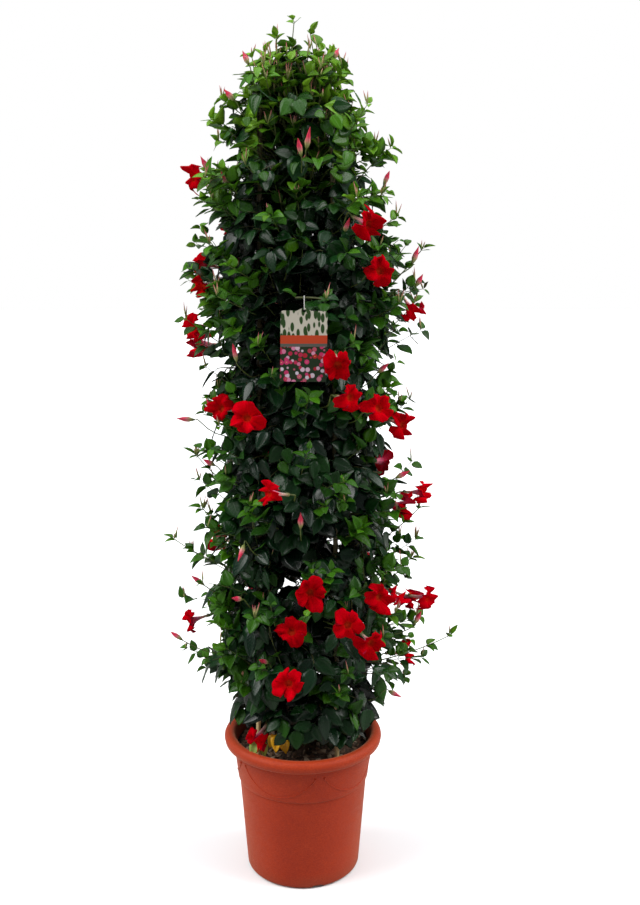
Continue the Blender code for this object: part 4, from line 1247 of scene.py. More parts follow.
def leafSize(height):
    share = shareOf(height, 0.30, 1.15)
    return leaves["lengthLow"] + (leaves["lengthHigh"] - leaves["lengthLow"]) * share


def youthAt(height):
    return shareOf(height, 1.12, 0.30)


def bentPath(start, end, lift):
    parts = leaves["pathParts"]
    points = []
    for i in range(parts + 1):
        share = i / parts
        points.append(start.lerp(end, share) + raised(lift * 4 * share * (1 - share)))
    return points


def pathPoint(points, share):
    place = share * (len(points) - 1)
    index = min(int(place), len(points) - 2)
    return points[index].lerp(points[index + 1], place - index)


def keepLeaf(plant, leaf, tone):
    if leaf:
        plant["leaves"].append((leaf, tone))


def addTwig(plant, line, thick, loss, tone):
    # a twig that thins towards its tip by this share of its radius
    last = len(line) - 1
    plant["twigs"].append((line, [thick * (1.0 - loss * i / last) for i in range(last + 1)], tone))


def addSpray(rng, vine, plant, start, end, lift, thick, pairs, youth, size, slack=0.010):
    shares = sorted([0.0, 1.0] + [share for pair in pairs for share in (pair, pair + leaves["nodeShare"])])
    whole = bentPath(start, end, lift)
    if not all(hasRoom(vine, point) for point in whole):
        return
    points = [pathPoint(whole, share) for share in shares]
    addTwig(plant, whole, thick, 0.45, 0.4 + 0.5 * youth)
    for pair in pairs:
        index = shares.index(pair)
        foot = points[index].lerp(points[index + 1], 0.5)
        for side in (-1, 1):
            keepLeaf(plant, findLeaf(rng, vine, plant, foot, side, youth, size, slack), youth)
    last = findLeaf(rng, vine, plant, end, rng.uniform(-0.3, 0.3), youth, size, slack)
    keepLeaf(plant, last, youth)


def growTwigs(vine, plant):
    for level in range(vines["twigLevels"]):
        rng = random.Random(f"vine {vine} twig {level}")
        share = (level + rng.uniform(0.1, 0.9)) / vines["twigLevels"]
        height = vines["lowestTwig"] + (vines["highestTwig"] - vines["lowestTwig"]) * share
        angle = vineAngle(vine) + span * (0.26 + 0.48 * ((level * 0.618 + vine * 0.37) % 1.0))
        youth, size = youthAt(height), leafSize(height)
        inner = rootReach(height, angle)
        outer = max(reachAt(height, angle) - size * 0.75, inner + 0.040)
        start = direction(angle) * inner
        end = direction(angle + rng.uniform(-6, 6)) * outer
        start.z = height
        end.z = height + 0.010 + 0.035 * youth
        addSpray(rng, vine, plant, start, end, 0.006, vines["twigRadius"], (0.68,), youth, size)


def growCrown(vine, plant):
    for index in range(vines["crownTwigs"]):
        rng = random.Random(f"vine {vine} crown {index}")
        angle = vineAngle(vine) + span * (0.3 + 0.4 * index)
        height = 1.36 + 0.035 * index
        start = direction(angle) * (rootReach(height, angle))
        start.z = height
        tipHeight = 1.425 + 0.055 * index + rng.uniform(-0.008, 0.008)
        end = direction(angle) * (reachAt(tipHeight, angle) * 0.66)
        end.z = tipHeight
        size = leaves["lengthHigh"] * 0.92
        addSpray(rng, vine, plant, start, end, 0.004, vines["twigRadius"], (0.5,), 1.0, size)


def spanPoint(vine, angle, reach, height):
    first = vineAngle(vine)
    fromFirst = (angle - first) % 360.0
    if fromFirst > 180.0 + span / 2:
        fromFirst -= 360.0
    edge = math.degrees(math.asin((vines["caneMargin"] + 0.004) / reach))
    point = direction(first + min(max(fromFirst, edge), span - edge)) * reach
    point.z = height
    return point


def shootPath(vine, end, drop):
    # a shoot sags a little before it turns up to its tip
    angle = angleOf(end)
    height = rootHeight(end.z - drop - leaves["shootRise"])
    return bentPath(spanPoint(vine, angle, rootReach(height, angle), height), end, -leaves["shootSag"])


def growShoots(vine, plant):
    for index, (x, y, z, drop) in enumerate(shoots):
        end = Vector((x, y, z))
        if not insideSpan(vine, end, 0.004):
            continue
        rng = random.Random(f"shoot {index}")
        start, size = shootPath(vine, end, drop)[0], leaves["shootLeaf"]
        lift = -leaves["shootSag"]
        addSpray(rng, vine, plant, start, end, lift, vines["twigRadius"], (0.48, 0.74), 1.0, size, 0.15)


def smoothLine(points, parts=3):
    # rounds a path of a few points with more points between them
    line = []
    for index in range(len(points) - 1):
        before, first = points[max(index - 1, 0)], points[index]
        last, after = points[index + 1], points[min(index + 2, len(points) - 1)]
        for i in range(parts):
            t = i / parts
            bend = first * 2 + (last - before) * t + (before * 2 - first * 5 + last * 4 - after) * t * t
            line.append((bend + (first * 3 - before - last * 3 + after) * t**3) / 2)
    return line + [points[-1]]


def addStalk(plant, points, radius, tone, swell=1.0):
    line = smoothLine(points)
    last = len(line) - 1
    plant["twigs"].append((line, [radius * (1 + (swell - 1) * i / last) for i in range(last + 1)], tone))


def growStalks(vine, plant):
    for face, axis, _ in flowerPlaces:
        foot = face - axis * (flowers["tubeLength"] + 0.0003)
        if not insideSpan(vine, foot, 0.0):
            continue
        angle = angleOf(foot)
        height = rootHeight(foot.z - 0.030)
        start = spanPoint(vine, angle, rootReach(height, angle), height)
        bend = start.lerp(foot, 0.6) - raised(0.008)
        addStalk(plant, [start, bend, foot - axis * 0.010, foot], 0.0011, 0.85, 1.4)


def growBuds(vine, plant):
    for x, y, z, angle, rise, length in frontBuds:
        tip = Vector((x, y, z))
        if not insideSpan(vine, tip, 0.004):
            continue
        axis = direction(angle, rise)
        foot = tip - axis * length
        height = rootHeight(foot.z - 0.045)
        start = spanPoint(vine, angleOf(foot), rootReach(height, angleOf(foot)), height)
        bend = start.lerp(foot, 0.65) - raised(0.010)
        addStalk(plant, [start, bend, foot - axis * 0.006, foot + axis * 0.001], 0.0010, 0.85)
        plant["buds"].append((foot, axis, length))


def tagTwigPoints():
    level = card["top"] + 0.0205
    return [
        Vector((card["side"] + 0.036, -0.076, level - 0.020)),
        Vector((card["side"] + 0.030, card["depth"] + 0.014, level - 0.004)),
        Vector((card["side"] + 0.012, card["depth"], level)),
        Vector((card["side"] - 0.014, card["depth"], level)),
    ]


def growTagTwig(vine, plant):
    points = tagTwigPoints()
    if not insideSpan(vine, points[-1]):
        return
    addStalk(plant, points, tie["twigRadius"], 0.6)
    rng = random.Random("tag twig")
    keepLeaf(plant, findLeaf(rng, vine, plant, points[-1], -1, 0.9, leaves["lengthHigh"], 0.04), 0.9)


def stemPaths(vine):
    middle = vineAngle(vine) + span / 2
    reach = vines["stemReach"]
    paths = []
    for foot in (direction(middle - 9) * reach, direction(middle + 10) * (reach - 0.014)):
        angle = angleOf(foot)
        top = direction(angle) * (coreReach(vines["stemTop"], angle) * 0.75)
        top.z = vines["stemTop"]
        low = foot + raised(soil["level"] - vines["stemSink"])
        out = foot + raised(soil["level"] + 0.020)
        paths.append([low, out, top])
    return paths


# Fine sprigs that fill the tower between the twigs: opposite pairs of leaves along a bending stem

sprigs = {
    "perVine": 112,
    "lowest": 0.290,
    "highest": 1.475,
    "length": (0.070, 0.125),
    "depth": (0.0, 0.065),
    "nodes": 4,
    "spacing": 0.45,
    "lumps": 0.022,
    "tries": 7,
    "fresh": (0.07, 0.62),
    "widthShare": 0.67,
    "hem": 0.286,
    "airy": 46,
    "sizeLow": 0.065,
    "sizeHigh": 0.049,
    "thin": 0.0009,
    "thinnest": 0.0007,
}


def freeSpot(grid, middle, limit):
    cell = (int(middle.x // 0.03), int(middle.y // 0.03), int(middle.z // 0.03))
    for x in (-1, 0, 1):
        for y in (-1, 0, 1):
            for z in (-1, 0, 1):
                for other in grid.get((cell[0] + x, cell[1] + y, cell[2] + z), ()):
                    if (other - middle).length < limit:
                        return False
    return True


def takeSpot(grid, middle):
    cell = (int(middle.x // 0.03), int(middle.y // 0.03), int(middle.z // 0.03))
    grid.setdefault(cell, []).append(middle)


# See-through gaps in the growth, as the camera sees them: side and height at the axis, radius

photoEye = Vector((0.0, -1.8, 1.128))
gaps = (
    (-0.176, 0.458, 0.020),
    (-0.166, 0.573, 0.013),
    (-0.173, 0.946, 0.013),
    (-0.173, 0.853, 0.012),
    (0.113, 0.935, 0.011),
    (-0.154, 0.968, 0.011),
    (-0.137, 0.318, 0.011),
    (0.134, 0.366, 0.011),
    (-0.023, 0.559, 0.011),
    (-0.032, 0.540, 0.008),
    (0.004, 0.520, 0.010),
    (0.062, 0.630, 0.012),
    (0.136, 1.297, 0.010),
    (-0.123, 1.336, 0.013),
    (0.152, 0.800, 0.010),
    (-0.162, 0.776, 0.010),
    (0.148, 0.830, 0.010),
    (0.156, 0.770, 0.009),
    (-0.152, 0.835, 0.009),
    (0.167, 0.508, 0.009),
    (-0.147, 1.187, 0.008),
    (-0.184, 0.548, 0.008),
    (0.110, 1.322, 0.007),
    (0.165, 1.114, 0.009),
)


def clearOfGaps(point):
    scale = photoEye.y / (photoEye.y - point.y)
    side, height = point.x * scale, photoEye.z + (point.z - photoEye.z) * scale
    return all((side - x) ** 2 + (height - z) ** 2 > radius * radius for x, z, radius in gaps)


def roomFor(point):
    return (
        clearOfGaps(point)
        and clearOfPot(point)
        and clearOfCanes(point, 0.001)
        and clearOfTag(point, 0.002)
        and clearOfFlowers(point, 0.002)
    )


def aimPair(rng, foot, stem, pairAxis, youth, size):
    outward = direction(angleOf(foot))
    up = raised(1.0)
    level = Vector((pairAxis.x, pairAxis.y, pairAxis.z * (0.3 + 0.7 * youth)))
    heading = level * rng.uniform(0.5, 1.0) + stem * rng.uniform(0.15, 0.5) + outward * rng.uniform(0.0, 0.4)
    heading += up * (0.40 * youth - rng.uniform(0.15, 1.25) * (1.0 - youth))
    heading.normalize()
    facing = direction(angleOf(foot) + rng.gauss(0.0, 38.0))
    facing.y -= 0.65 * abs(facing.x)
    facing.normalize()
    face = facing * (1.0 - 0.60 * youth) + up * (0.42 + 0.65 * youth)
    face += Vector((rng.uniform(-0.25, 0.25), rng.uniform(-0.25, 0.25), rng.uniform(-0.2, 0.4)))
    face = squared(face, heading)
    length = size * rng.uniform(0.80, 1.12)
    return foot, heading, face, length, length * sprigs["widthShare"] * rng.uniform(0.90, 1.12)


def placePair(rng, spots, foot, stem, pairAxis, youth, size, slack):
    for _ in range(sprigs["tries"]):
        leaf = aimPair(rng, foot, stem, pairAxis, youth, size)
        grid = leafGrid(leaf)
        tip, middle = grid[-1], grid[7]
        if flatReach(tip) > limitAt(tip, slack) or not insideBox(tip) or tip.z < sprigs["hem"]:
            continue
        if not freeSpot(spots, middle, sprigs["spacing"] * size):
            continue
        if all(roomFor(point) for point in grid[3:]):
            takeSpot(spots, middle)
            return leaf
    return None


fullReach = (
    (0.25, 0.138, 0.138),
    (0.33, 0.140, 0.146),
    (0.39, 0.142, 0.152),
    (0.45, 0.150, 0.152),
    (0.51, 0.156, 0.152),
    (0.565, 0.140, 0.152),
    (0.62, 0.128, 0.150),
    (0.70, 0.142, 0.156),
    (0.79, 0.146, 0.142),
    (0.85, 0.144, 0.142),
    (0.92, 0.142, 0.134),
    (1.02, 0.156, 0.150),
    (1.12, 0.166, 0.158),
    (1.19, 0.164, 0.138),
    (1.30, 0.148, 0.126),
    (1.40, 0.124, 0.098),
    (1.47, 0.106, 0.078),
    (1.53, 0.050, 0.040),
)


def insideBox(point):
    low, high = cadBounds
    return all(low[i] + 0.001 < point[i] < high[i] - 0.001 for i in range(3))


def limitAt(point, slack):
    lump = noise.noise((point.x * 14, point.y * 14, point.z * 11))
    return reachAt(point.z, angleOf(point), fullReach) + slack + sprigs["lumps"] * lump


def freshShare(height):
    # the share of young sprigs, which grows towards the top
    few, many = sprigs["fresh"]
    return few + (many - few) * shareOf(height, 0.96, 0.42)


def growSprigs(vine, plant, spots):
    rng = random.Random(f"vine {vine} sprigs")
    count = sprigs["perVine"]
    for index in range(count):
        share = (index + rng.random()) / count
        height = sprigs["lowest"] + (sprigs["highest"] - sprigs["lowest"]) * share
        youth = rng.uniform(0.6, 1.0) if rng.random() < freshShare(height) else rng.uniform(0.0, 0.15)
        length = rng.uniform(*sprigs["length"])
        for _ in range(4):
            angle = vineAngle(vine) + span * ((index * 0.618 + rng.uniform(-0.1, 0.1)) % 1.0)
            outward = direction(angle)
            tangent = sideways(outward)
            reach = reachAt(height, angle, fullReach) - length * 0.70 - rng.uniform(*sprigs["depth"])
            start = outward * max(reach, 0.015)
            start.z = height - (0.02 + 0.05 * youth)
            heading = outward * rng.uniform(0.5, 1.0) + tangent * rng.uniform(-0.8, 0.8)
            heading += raised(rng.uniform(0.0, 0.5) + 0.9 * youth)
            sag = length * rng.uniform(0.05, 0.45) * (1.0 - youth)
            line = sprigLine(start, heading.normalized(), length, sag)
            if line:
                break
        if line:
            growAlong(rng, plant, spots, line, youth, 0.0013)


def sprigLine(start, heading, length, sag):
    # a sprig's stem, or nothing where something is in its way
    down = raised(-sag)
    line = [start + heading * (length * i / 6) + down * (i / 6) ** 2 for i in range(7)]
    return line if all(roomFor(point) and insideBox(point) for point in line) else None


def growAlong(rng, plant, spots, line, youth, thick, fullSize=0.0, slack=0.006):
    # puts pairs of leaves along a stem, and keeps the stem up to the last of them
    turn = rng.uniform(0.0, math.pi)
    last = 0.0
    nodes = sprigs["nodes"]
    for node in range(nodes + 1):
        share = 0.22 + 0.76 * node / nodes
        foot = pathPoint(line, share)
        stem = (pathPoint(line, min(share + 0.05, 1.0)) - pathPoint(line, share - 0.05)).normalized()
        side = stem.cross(raised(1.0)).normalized()
        axis = side * math.cos(turn) + stem.cross(side) * math.sin(turn)
        turn += math.pi / 2
        rise = shareOf(foot.z, 0.30, 1.15)
        size = fullSize or sprigs["sizeLow"] + (sprigs["sizeHigh"] - sprigs["sizeLow"]) * rise
        size *= 1.0 - 0.42 * max(share - 0.6, 0.0) / 0.4
        fresh = min(1.0, youth * 0.75 + 0.34 * max(share - 0.5, 0.0) / 0.5)
        for sign in (-1, 1):
            grown = max(youth, fresh * 0.6)
            leaf = placePair(rng, spots, foot, stem, axis * sign, grown, size, slack)
            keepLeaf(plant, leaf, fresh)
            last = share if leaf else last
    if last == 0.0:
        return
    parts = 6
    kept = [pathPoint(line, last * i / parts) for i in range(parts + 1)]
    addTwig(plant, kept, thick, 0.55, 0.3 + 0.65 * youth)
    if youth > 0.5 and last > 0.7 and rng.random() < (0.85 if kept[-1].z > 1.36 else 0.5):
        addBudlets(rng, plant, kept[-1])


budlet = {"lean": 0.4, "short": (0.012, 0.022), "long": (0.022, 0.032)}


def addBudlets(rng, plant, foot):
    # a few slim young buds that stand up from a tip
    for _ in range(rng.randint(1, 3)):
        lean = budlet["lean"]
        axis = Vector((rng.uniform(-lean, lean), rng.uniform(-lean, lean), 1.0)).normalized()
        # the draw of the kind comes first, then the draw of the length
        length = rng.uniform(*budlet["short" if rng.random() < 0.5 else "long"])
        tip = foot + axis * length
        if insideBox(tip) and roomFor(tip):
            plant["budlets"].append((foot, axis, length))


airy = {
    "low": 0.36,
    "rise": 1.04,
    "inward": 0.030,
    "length": (0.055, 0.115),
    "bend": (-0.2, 0.3),
    "outMost": 0.024,
    "youth": (0.45, 1.0),
    "size": (0.028, 0.044),
    "thick": 0.0011,
    "slack": 0.080,
}


def growAiry(vine, plant, spots):
    # loose young shoots that stand out of the full growth
    rng = random.Random(f"vine {vine} airy")
    count = sprigs["airy"]
    for index in range(count):
        height = airy["low"] + airy["rise"] * (index + rng.random()) / count
        angle = vineAngle(vine) + span * ((index * 0.618 + rng.uniform(-0.1, 0.1)) % 1.0)
        outward = direction(angle)
        if outward.y < -0.75 and rng.random() < 0.5:
            continue
        tangent = sideways(outward)
        start = outward * (reachAt(height, angle, fullReach) - airy["inward"])
        start.z = height
        heading = outward * rng.uniform(0.5, 1.0) + tangent * rng.uniform(-0.5, 0.5)
        heading += raised(rng.uniform(0.1, 0.9))
        length = rng.uniform(*airy["length"])
        line = sprigLine(start, heading.normalized(), length, length * rng.uniform(*airy["bend"]))
        if not line or flatReach(line[-1]) > reachAt(line[-1].z, angleOf(line[-1])) + airy["outMost"]:
            continue
        youth, size = rng.uniform(*airy["youth"]), rng.uniform(*airy["size"])
        growAlong(rng, plant, spots, line, youth, airy["thick"], size, airy["slack"])


crown = {
    "count": 13,
    "reach": (0.005, 0.070),
    "foot": (1.365, 1.425),
    "outward": (0.1, 0.6),
    "length": (0.060, 0.095),
    "youth": (0.5, 1.0),
    "size": (0.034, 0.048),
    "thick": 0.0011,
    "slack": 0.010,
}


def growTop(vine, plant, spots):
    # shoots of the crown, which end at many heights
    rng = random.Random(f"vine {vine} top")
    for _ in range(crown["count"]):
        angle = vineAngle(vine) + span * rng.random()
        outward = direction(angle)
        start = outward * rng.uniform(*crown["reach"])
        start.z = rng.uniform(*crown["foot"])
        heading = outward * rng.uniform(*crown["outward"])
        heading += Vector((rng.uniform(-0.3, 0.3), rng.uniform(-0.3, 0.3), 1.0))
        line = sprigLine(start, heading.normalized(), rng.uniform(*crown["length"]), 0.0)
        if line:
            youth, size = rng.uniform(*crown["youth"]), rng.uniform(*crown["size"])
            growAlong(rng, plant, spots, line, youth, crown["thick"], size, crown["slack"])


climber = {
    "count": 2,
    "low": 0.36,
    "apart": 0.19,
    "rise": 0.22,
    "slope": (20, 90),
    "sway": 1.6,
    "inward": 0.034,
    "arch": 0.024,
    "wave": 0.004,
    "youth": (0.4, 0.7),
    "size": (0.036, 0.046),
    "thick": 0.0008,
    "slack": 0.020,
}


def growClimbers(vine, plant, spots):
    # long stems that wind up over the leaves
    rng = random.Random(f"vine {vine} climbers")
    for index in range(climber["count"]):
        low = climber["low"] + climber["apart"] * index + rng.uniform(0.0, 0.08)
        first = vineAngle(vine) + span * rng.random()
        slope = rng.choice((-1, 1)) * rng.uniform(*climber["slope"])
        line = []
        for i in range(13):
            height = low + climber["rise"] * i / 12
            angle = first + slope * (height - low) + climber["sway"] * math.sin(i * 1.1)
            arch = climber["arch"] * math.sin(math.pi * i / 12) ** 0.7
            reach = reachAt(height, angle, fullReach) - climber["inward"] + arch
            point = direction(angle) * (reach + climber["wave"] * math.sin(i * 1.3))
            point.z = height
            line.append(point)
        if all(roomFor(point) and insideBox(point) for point in line):
            addTwig(plant, smoothLine(line, 2), sprigs["thinnest"], 0.0, 0.75)
            youth, size = rng.uniform(*climber["youth"]), rng.uniform(*climber["size"])
            growAlong(rng, plant, spots, line, youth, climber["thick"], size, climber["slack"])


cover = {
    "count": 96,
    "low": 0.34,
    "rise": 1.07,
    "beside": (7.0, 14.0),
    "before": (0.010, 0.024),
    "length": (0.038, 0.050),
    "apart": 0.009,
    "behind": 0.020,
    "below": 0.016,
}


def growCaneCover(vine, plant, spots):
    # short side shoots, each with a leaf that lies across the cane at this vine's first edge
    rng = random.Random(f"vine {vine} cover")
    if vine % 2:
        return
    for index in range(cover["count"]):
        share = (index + rng.random()) / cover["count"]
        height = cover["low"] + cover["rise"] * share**0.8
        lean = (height - soil["level"]) / (canes["topLevel"] - soil["level"])
        caneReach = canes["reachAtSoil"] + (canes["reachAtTop"] - canes["reachAtSoil"]) * lean
        youth = rng.uniform(0.5, 1.0) if rng.random() < freshShare(height) else 0.1
        for _ in range(sprigs["tries"]):
            side = rng.choice((-1, 1))
            outward = direction(vineAngle(vine) + side * rng.uniform(*cover["beside"]))
            tangent = sideways(outward) * side
            up = raised(1.0)
            foot = outward * (caneReach + rng.uniform(*cover["before"])) + up * height
            heading = outward * rng.uniform(0.0, 0.3) - tangent + up * rng.uniform(-0.9, 0.6)
            heading.normalize()
            face = outward + up * rng.uniform(0.1, 0.6) + tangent * rng.uniform(-0.3, 0.3)
            face = squared(face, heading)
            length = rng.uniform(*cover["length"])
            leaf = (foot, heading, face, length, length * sprigs["widthShare"])
            middle = leafGrid(leaf)[7]
            if freeSpot(spots, middle, cover["apart"]) and all(roomFor(point) for point in leafGrid(leaf)):
                takeSpot(spots, middle)
                keepLeaf(plant, leaf, youth)
                inner = outward * (caneReach - cover["behind"]) + up * (height - cover["below"])
                line = smoothLine([inner, foot * 0.96 + up * (height * 0.04 - 0.006), foot])
                addTwig(plant, line, sprigs["thin"], 0.0, 0.4 + 0.5 * youth)
                break


def growShootTips(vine, plant, spots):
    # more young leaves and budlets on the shoots that stand out of the tower
    for index, (x, y, z, drop) in enumerate(shoots):
        end = Vector((x, y, z))
        if not insideSpan(vine, end, 0.004):
            continue
        rng = random.Random(f"shoot tip {index}")
        path = shootPath(vine, end, drop)
        growAlong(rng, plant, spots, path, 0.9, 0.0009, rng.uniform(0.026, 0.034), 0.15)
        addBudlets(rng, plant, end)


# Long loose shoots at the sides: side, depth and height of the end, and how far below it the shoot starts

looseShoots = (
    (-0.206, 0.030, 0.612, 0.050),
    (-0.216, -0.030, 0.540, 0.040),
    (-0.190, -0.035, 0.478, 0.060),
    (-0.222, 0.010, 0.428, 0.030),
    (-0.184, 0.020, 0.386, 0.040),
    (-0.204, 0.000, 0.868, 0.070),
    (-0.184, -0.040, 0.765, 0.070),
    (-0.168, 0.010, 0.690, 0.080),
    (0.208, -0.020, 0.648, 0.060),
    (0.196, 0.030, 0.560, 0.050),
    (0.226, 0.010, 0.408, 0.030),
    (0.212, -0.030, 0.505, 0.050),
    (0.196, 0.020, 0.365, 0.050),
    (0.200, 0.000, 0.790, 0.080),
    (0.190, -0.020, 0.735, 0.070),
    (0.216, 0.010, 1.030, 0.070),
    (0.205, 0.020, 1.115, 0.080),
    (0.196, 0.000, 0.905, 0.080),
    (0.050, 0.212, 0.600, 0.060),
    (-0.095, 0.205, 0.860, 0.080),
    (0.110, 0.186, 0.990, 0.080),
    (-0.060, 0.222, 0.450, 0.050),
)


def growLoose(vine, plant, spots):
    for index, (x, y, z, drop) in enumerate(looseShoots):
        end = Vector((x, y, z))
        if not insideSpan(vine, end, -0.020):
            continue
        rng = random.Random(f"loose {index}")
        outward = direction(angleOf(end))
        start = outward * (reachAt(z - drop, angleOf(end), fullReach) - 0.040) + raised(z - drop)
        bend = (start + end) / 2 + raised(rng.uniform(-0.014, 0.012))
        bend += sideways(outward) * rng.uniform(-0.014, 0.014)
        path = smoothLine([start, bend, end])
        if all(roomFor(point) and insideBox(point) for point in path):
            youth, size = rng.uniform(0.45, 0.7), rng.uniform(0.034, 0.042)
            growAlong(rng, plant, spots, path, youth, 0.0010, size, 0.15)
            addBudlets(rng, plant, end)


# Leaves that turn yellow over the soil: place of the leaf's foot, heading and rise, length, tone

oldLeaves = (
    (-0.046, -0.082, 0.300, -100, -38, 0.036, 2.0),
    (-0.040, -0.086, 0.297, -60, -55, 0.034, 2.1),
    (-0.048, -0.080, 0.298, -150, -50, 0.030, 2.2),
    (-0.080, -0.084, 0.290, -125, -40, 0.036, 2.9),
    (-0.074, -0.086, 0.288, -80, -50, 0.030, 2.8),
    (0.050, -0.098, 0.318, -70, -75, 0.044, 0.0),
    (0.072, -0.080, 0.306, -30, -60, 0.040, 0.05),
)


def growOldLeaves():
    for x, y, z, angle, rise, length, tone in oldLeaves:
        foot, heading = Vector((x, y, z)), direction(angle, rise)
        face = (direction(angle) * 0.5 + Vector((0.0, -0.6, 0.6))).normalized()
        face = squared(face, heading)
        inner = Vector((x * 0.45, y * 0.5, z + 0.035))
        bend = foot * 0.9 + raised(z * 0.1 + 0.012)
        addTwig(plants[0], smoothLine([inner, bend, foot]), sprigs["thin"], 0.0, 0.5)
        plants[0]["leaves"].append(((foot, heading, face, length, length * 0.6), tone))


def growVine(vine):
    plant = {"twigs": [], "leaves": [], "middles": [], "buds": [], "budlets": []}
    growTagTwig(vine, plant)
    growStalks(vine, plant)
    growBuds(vine, plant)
    growShoots(vine, plant)
    growCrown(vine, plant)
    growTwigs(vine, plant)
    return plant


plants = [growVine(vine) for vine in range(vines["count"])]
leafSpots = {}
for plant in plants:
    for middle in plant["middles"]:
        takeSpot(leafSpots, middle)
for vine, plant in enumerate(plants):
    growCaneCover(vine, plant, leafSpots)
for vine, plant in enumerate(plants):
    growSprigs(vine, plant, leafSpots)
    growTop(vine, plant, leafSpots)
    growAiry(vine, plant, leafSpots)
    growClimbers(vine, plant, leafSpots)
    growShootTips(vine, plant, leafSpots)
    growLoose(vine, plant, leafSpots)
growOldLeaves()
print("grown:", [len(plant["leaves"]) for plant in plants], "leaves")

# The leaf shapes, one metre long, which the tree puts at every place

leafShape = {
    "shapes": 6,
    "stations": (0.20, 0.38, 0.57, 0.76, 0.90),
    "widths": (0.60, 1.0, 0.97, 0.66, 0.29),
    "bladeFoot": 0.14,
    "fold": 0.070,
    "bulge": 0.012,
    "rib": 0.014,
    "youngFrom": 4,
    "petioleRadius": 0.018,
    "wave": 0.016,
}


def makeLeafShape(index):
    rng = random.Random(f"leaf shape {index}")
    young = index >= leafShape["youngFrom"]
    fold = leafShape["fold"] * (rng.uniform(2.4, 3.4) if young else rng.uniform(0.4, 1.5))
    droop = leaves["droop"] * (2.6 if young else 0.5 + 0.55 * index)
    bend = rng.uniform(-0.05, 0.05)
    phases = [rng.uniform(0, 6.28), rng.uniform(0, 6.28)]
    points, under, places, faces = [], [], [], []

    def add(x, y, z, low, u, v):
        points.append((x + bend * y * y, y, z))
        under.append(low)
        places.append((u, v))
        return len(points) - 1

    foot = leafShape["bladeFoot"]
    start = add(0.0, foot, -droop * foot * foot, 0.3, 0.5, 0.0)
    tops, lows = [], []
    for along, wide in zip(leafShape["stations"], leafShape["widths"]):
        drop = -droop * along * along
        row = []
        for share in (-1.0, -0.5, 0.0, 0.5, 1.0):
            ripple = leafShape["wave"] * math.sin(along * 11 + phases[share > 0]) * abs(share) ** 2
            lift = fold * wide * abs(share) + (leafShape["bulge"] * wide if abs(share) == 0.5 else 0.0)
            low = 0.15 if abs(share) == 1.0 else 0.0
            row.append(add(share * wide / 2, along, drop + lift + ripple, low, 0.5 + share / 2, along))
        tops.append(row)
        lows.append(add(0.0, along, drop - leafShape["rib"], 1.0, 0.5, along))
    tip = add(0.0, 1.0, -droop, 0.3, 0.5, 1.0)
    for row, low, rowAfter, lowAfter in zip(tops, lows, tops[1:], lows[1:]):
        for i in range(4):
            faces.append((row[i], row[i + 1], rowAfter[i + 1], rowAfter[i]))
        faces.append((row[4], low, lowAfter, rowAfter[4]))
        faces.append((low, row[0], rowAfter[0], lowAfter))
    for row, low, end, flip in ((tops[0], lows[0], start, True), (tops[-1], lows[-1], tip, False)):
        ring = row + [low]
        for i in range(6):
            face = (ring[i], ring[(i + 1) % 6], end)
            faces.append(tuple(reversed(face)) if flip else face)
    stalk = []
    for along, drop in ((0.0, 0.0), (foot + 0.05, -droop * foot * foot - 0.004)):
        for turn in (90, 210, 330):
            x, z = math.cos(math.radians(turn)), math.sin(math.radians(turn))
            size = leafShape["petioleRadius"]
            stalk.append(add(x * size * 1.6, along, drop + z * size, 0.6, 0.5, 0.02))
    for i in range(3):
        after = (i + 1) % 3
        faces.append((stalk[i], stalk[after], stalk[after + 3], stalk[i + 3]))
    faces += [(stalk[2], stalk[1], stalk[0]), (stalk[3], stalk[4], stalk[5])]
    mesh = newMesh(f"leaf shape {index}", points, faces)
    setFloats(mesh, "under", under)
    setPlaces(mesh, places)
    mesh.shade_smooth()
    return bpy.data.objects.new(f"leaf shape {index}", mesh)


def makeLeafTree():
    inputs = [
        ("Leaf shapes", "NodeSocketCollection"),
        ("Leaf size", "NodeSocketFloat"),
        ("Finish", "NodeSocketMaterial"),
    ]
    tree, start, end = newTree("Leaves on places", inputs)
    shapes = tree.nodes.new("GeometryNodeCollectionInfo")
    shapes.inputs["Separate Children"].default_value = True
    shapes.inputs["Reset Children"].default_value = True
    tree.links.new(start.outputs["Leaf shapes"], shapes.inputs["Collection"])
    turned = tree.nodes.new("FunctionNodeEulerToRotation")
    tree.links.new(readAttribute(tree, "turn", "FLOAT_VECTOR"), turned.inputs["Euler"])
    sized = tree.nodes.new("ShaderNodeVectorMath")
    sized.operation = "SCALE"
    tree.links.new(readAttribute(tree, "size", "FLOAT_VECTOR"), sized.inputs[0])
    tree.links.new(start.outputs["Leaf size"], sized.inputs["Scale"])
    placed = tree.nodes.new("GeometryNodeInstanceOnPoints")
    placed.inputs["Pick Instance"].default_value = True
    tree.links.new(start.outputs["Geometry"], placed.inputs["Points"])
    tree.links.new(shapes.outputs["Instances"], placed.inputs["Instance"])
    tree.links.new(readAttribute(tree, "kind", "INT"), placed.inputs["Instance Index"])
    tree.links.new(turned.outputs["Rotation"], placed.inputs["Rotation"])
    tree.links.new(sized.outputs["Vector"], placed.inputs["Scale"])
    paintGeometry(tree, placed.outputs["Instances"], start, end)
    return tree


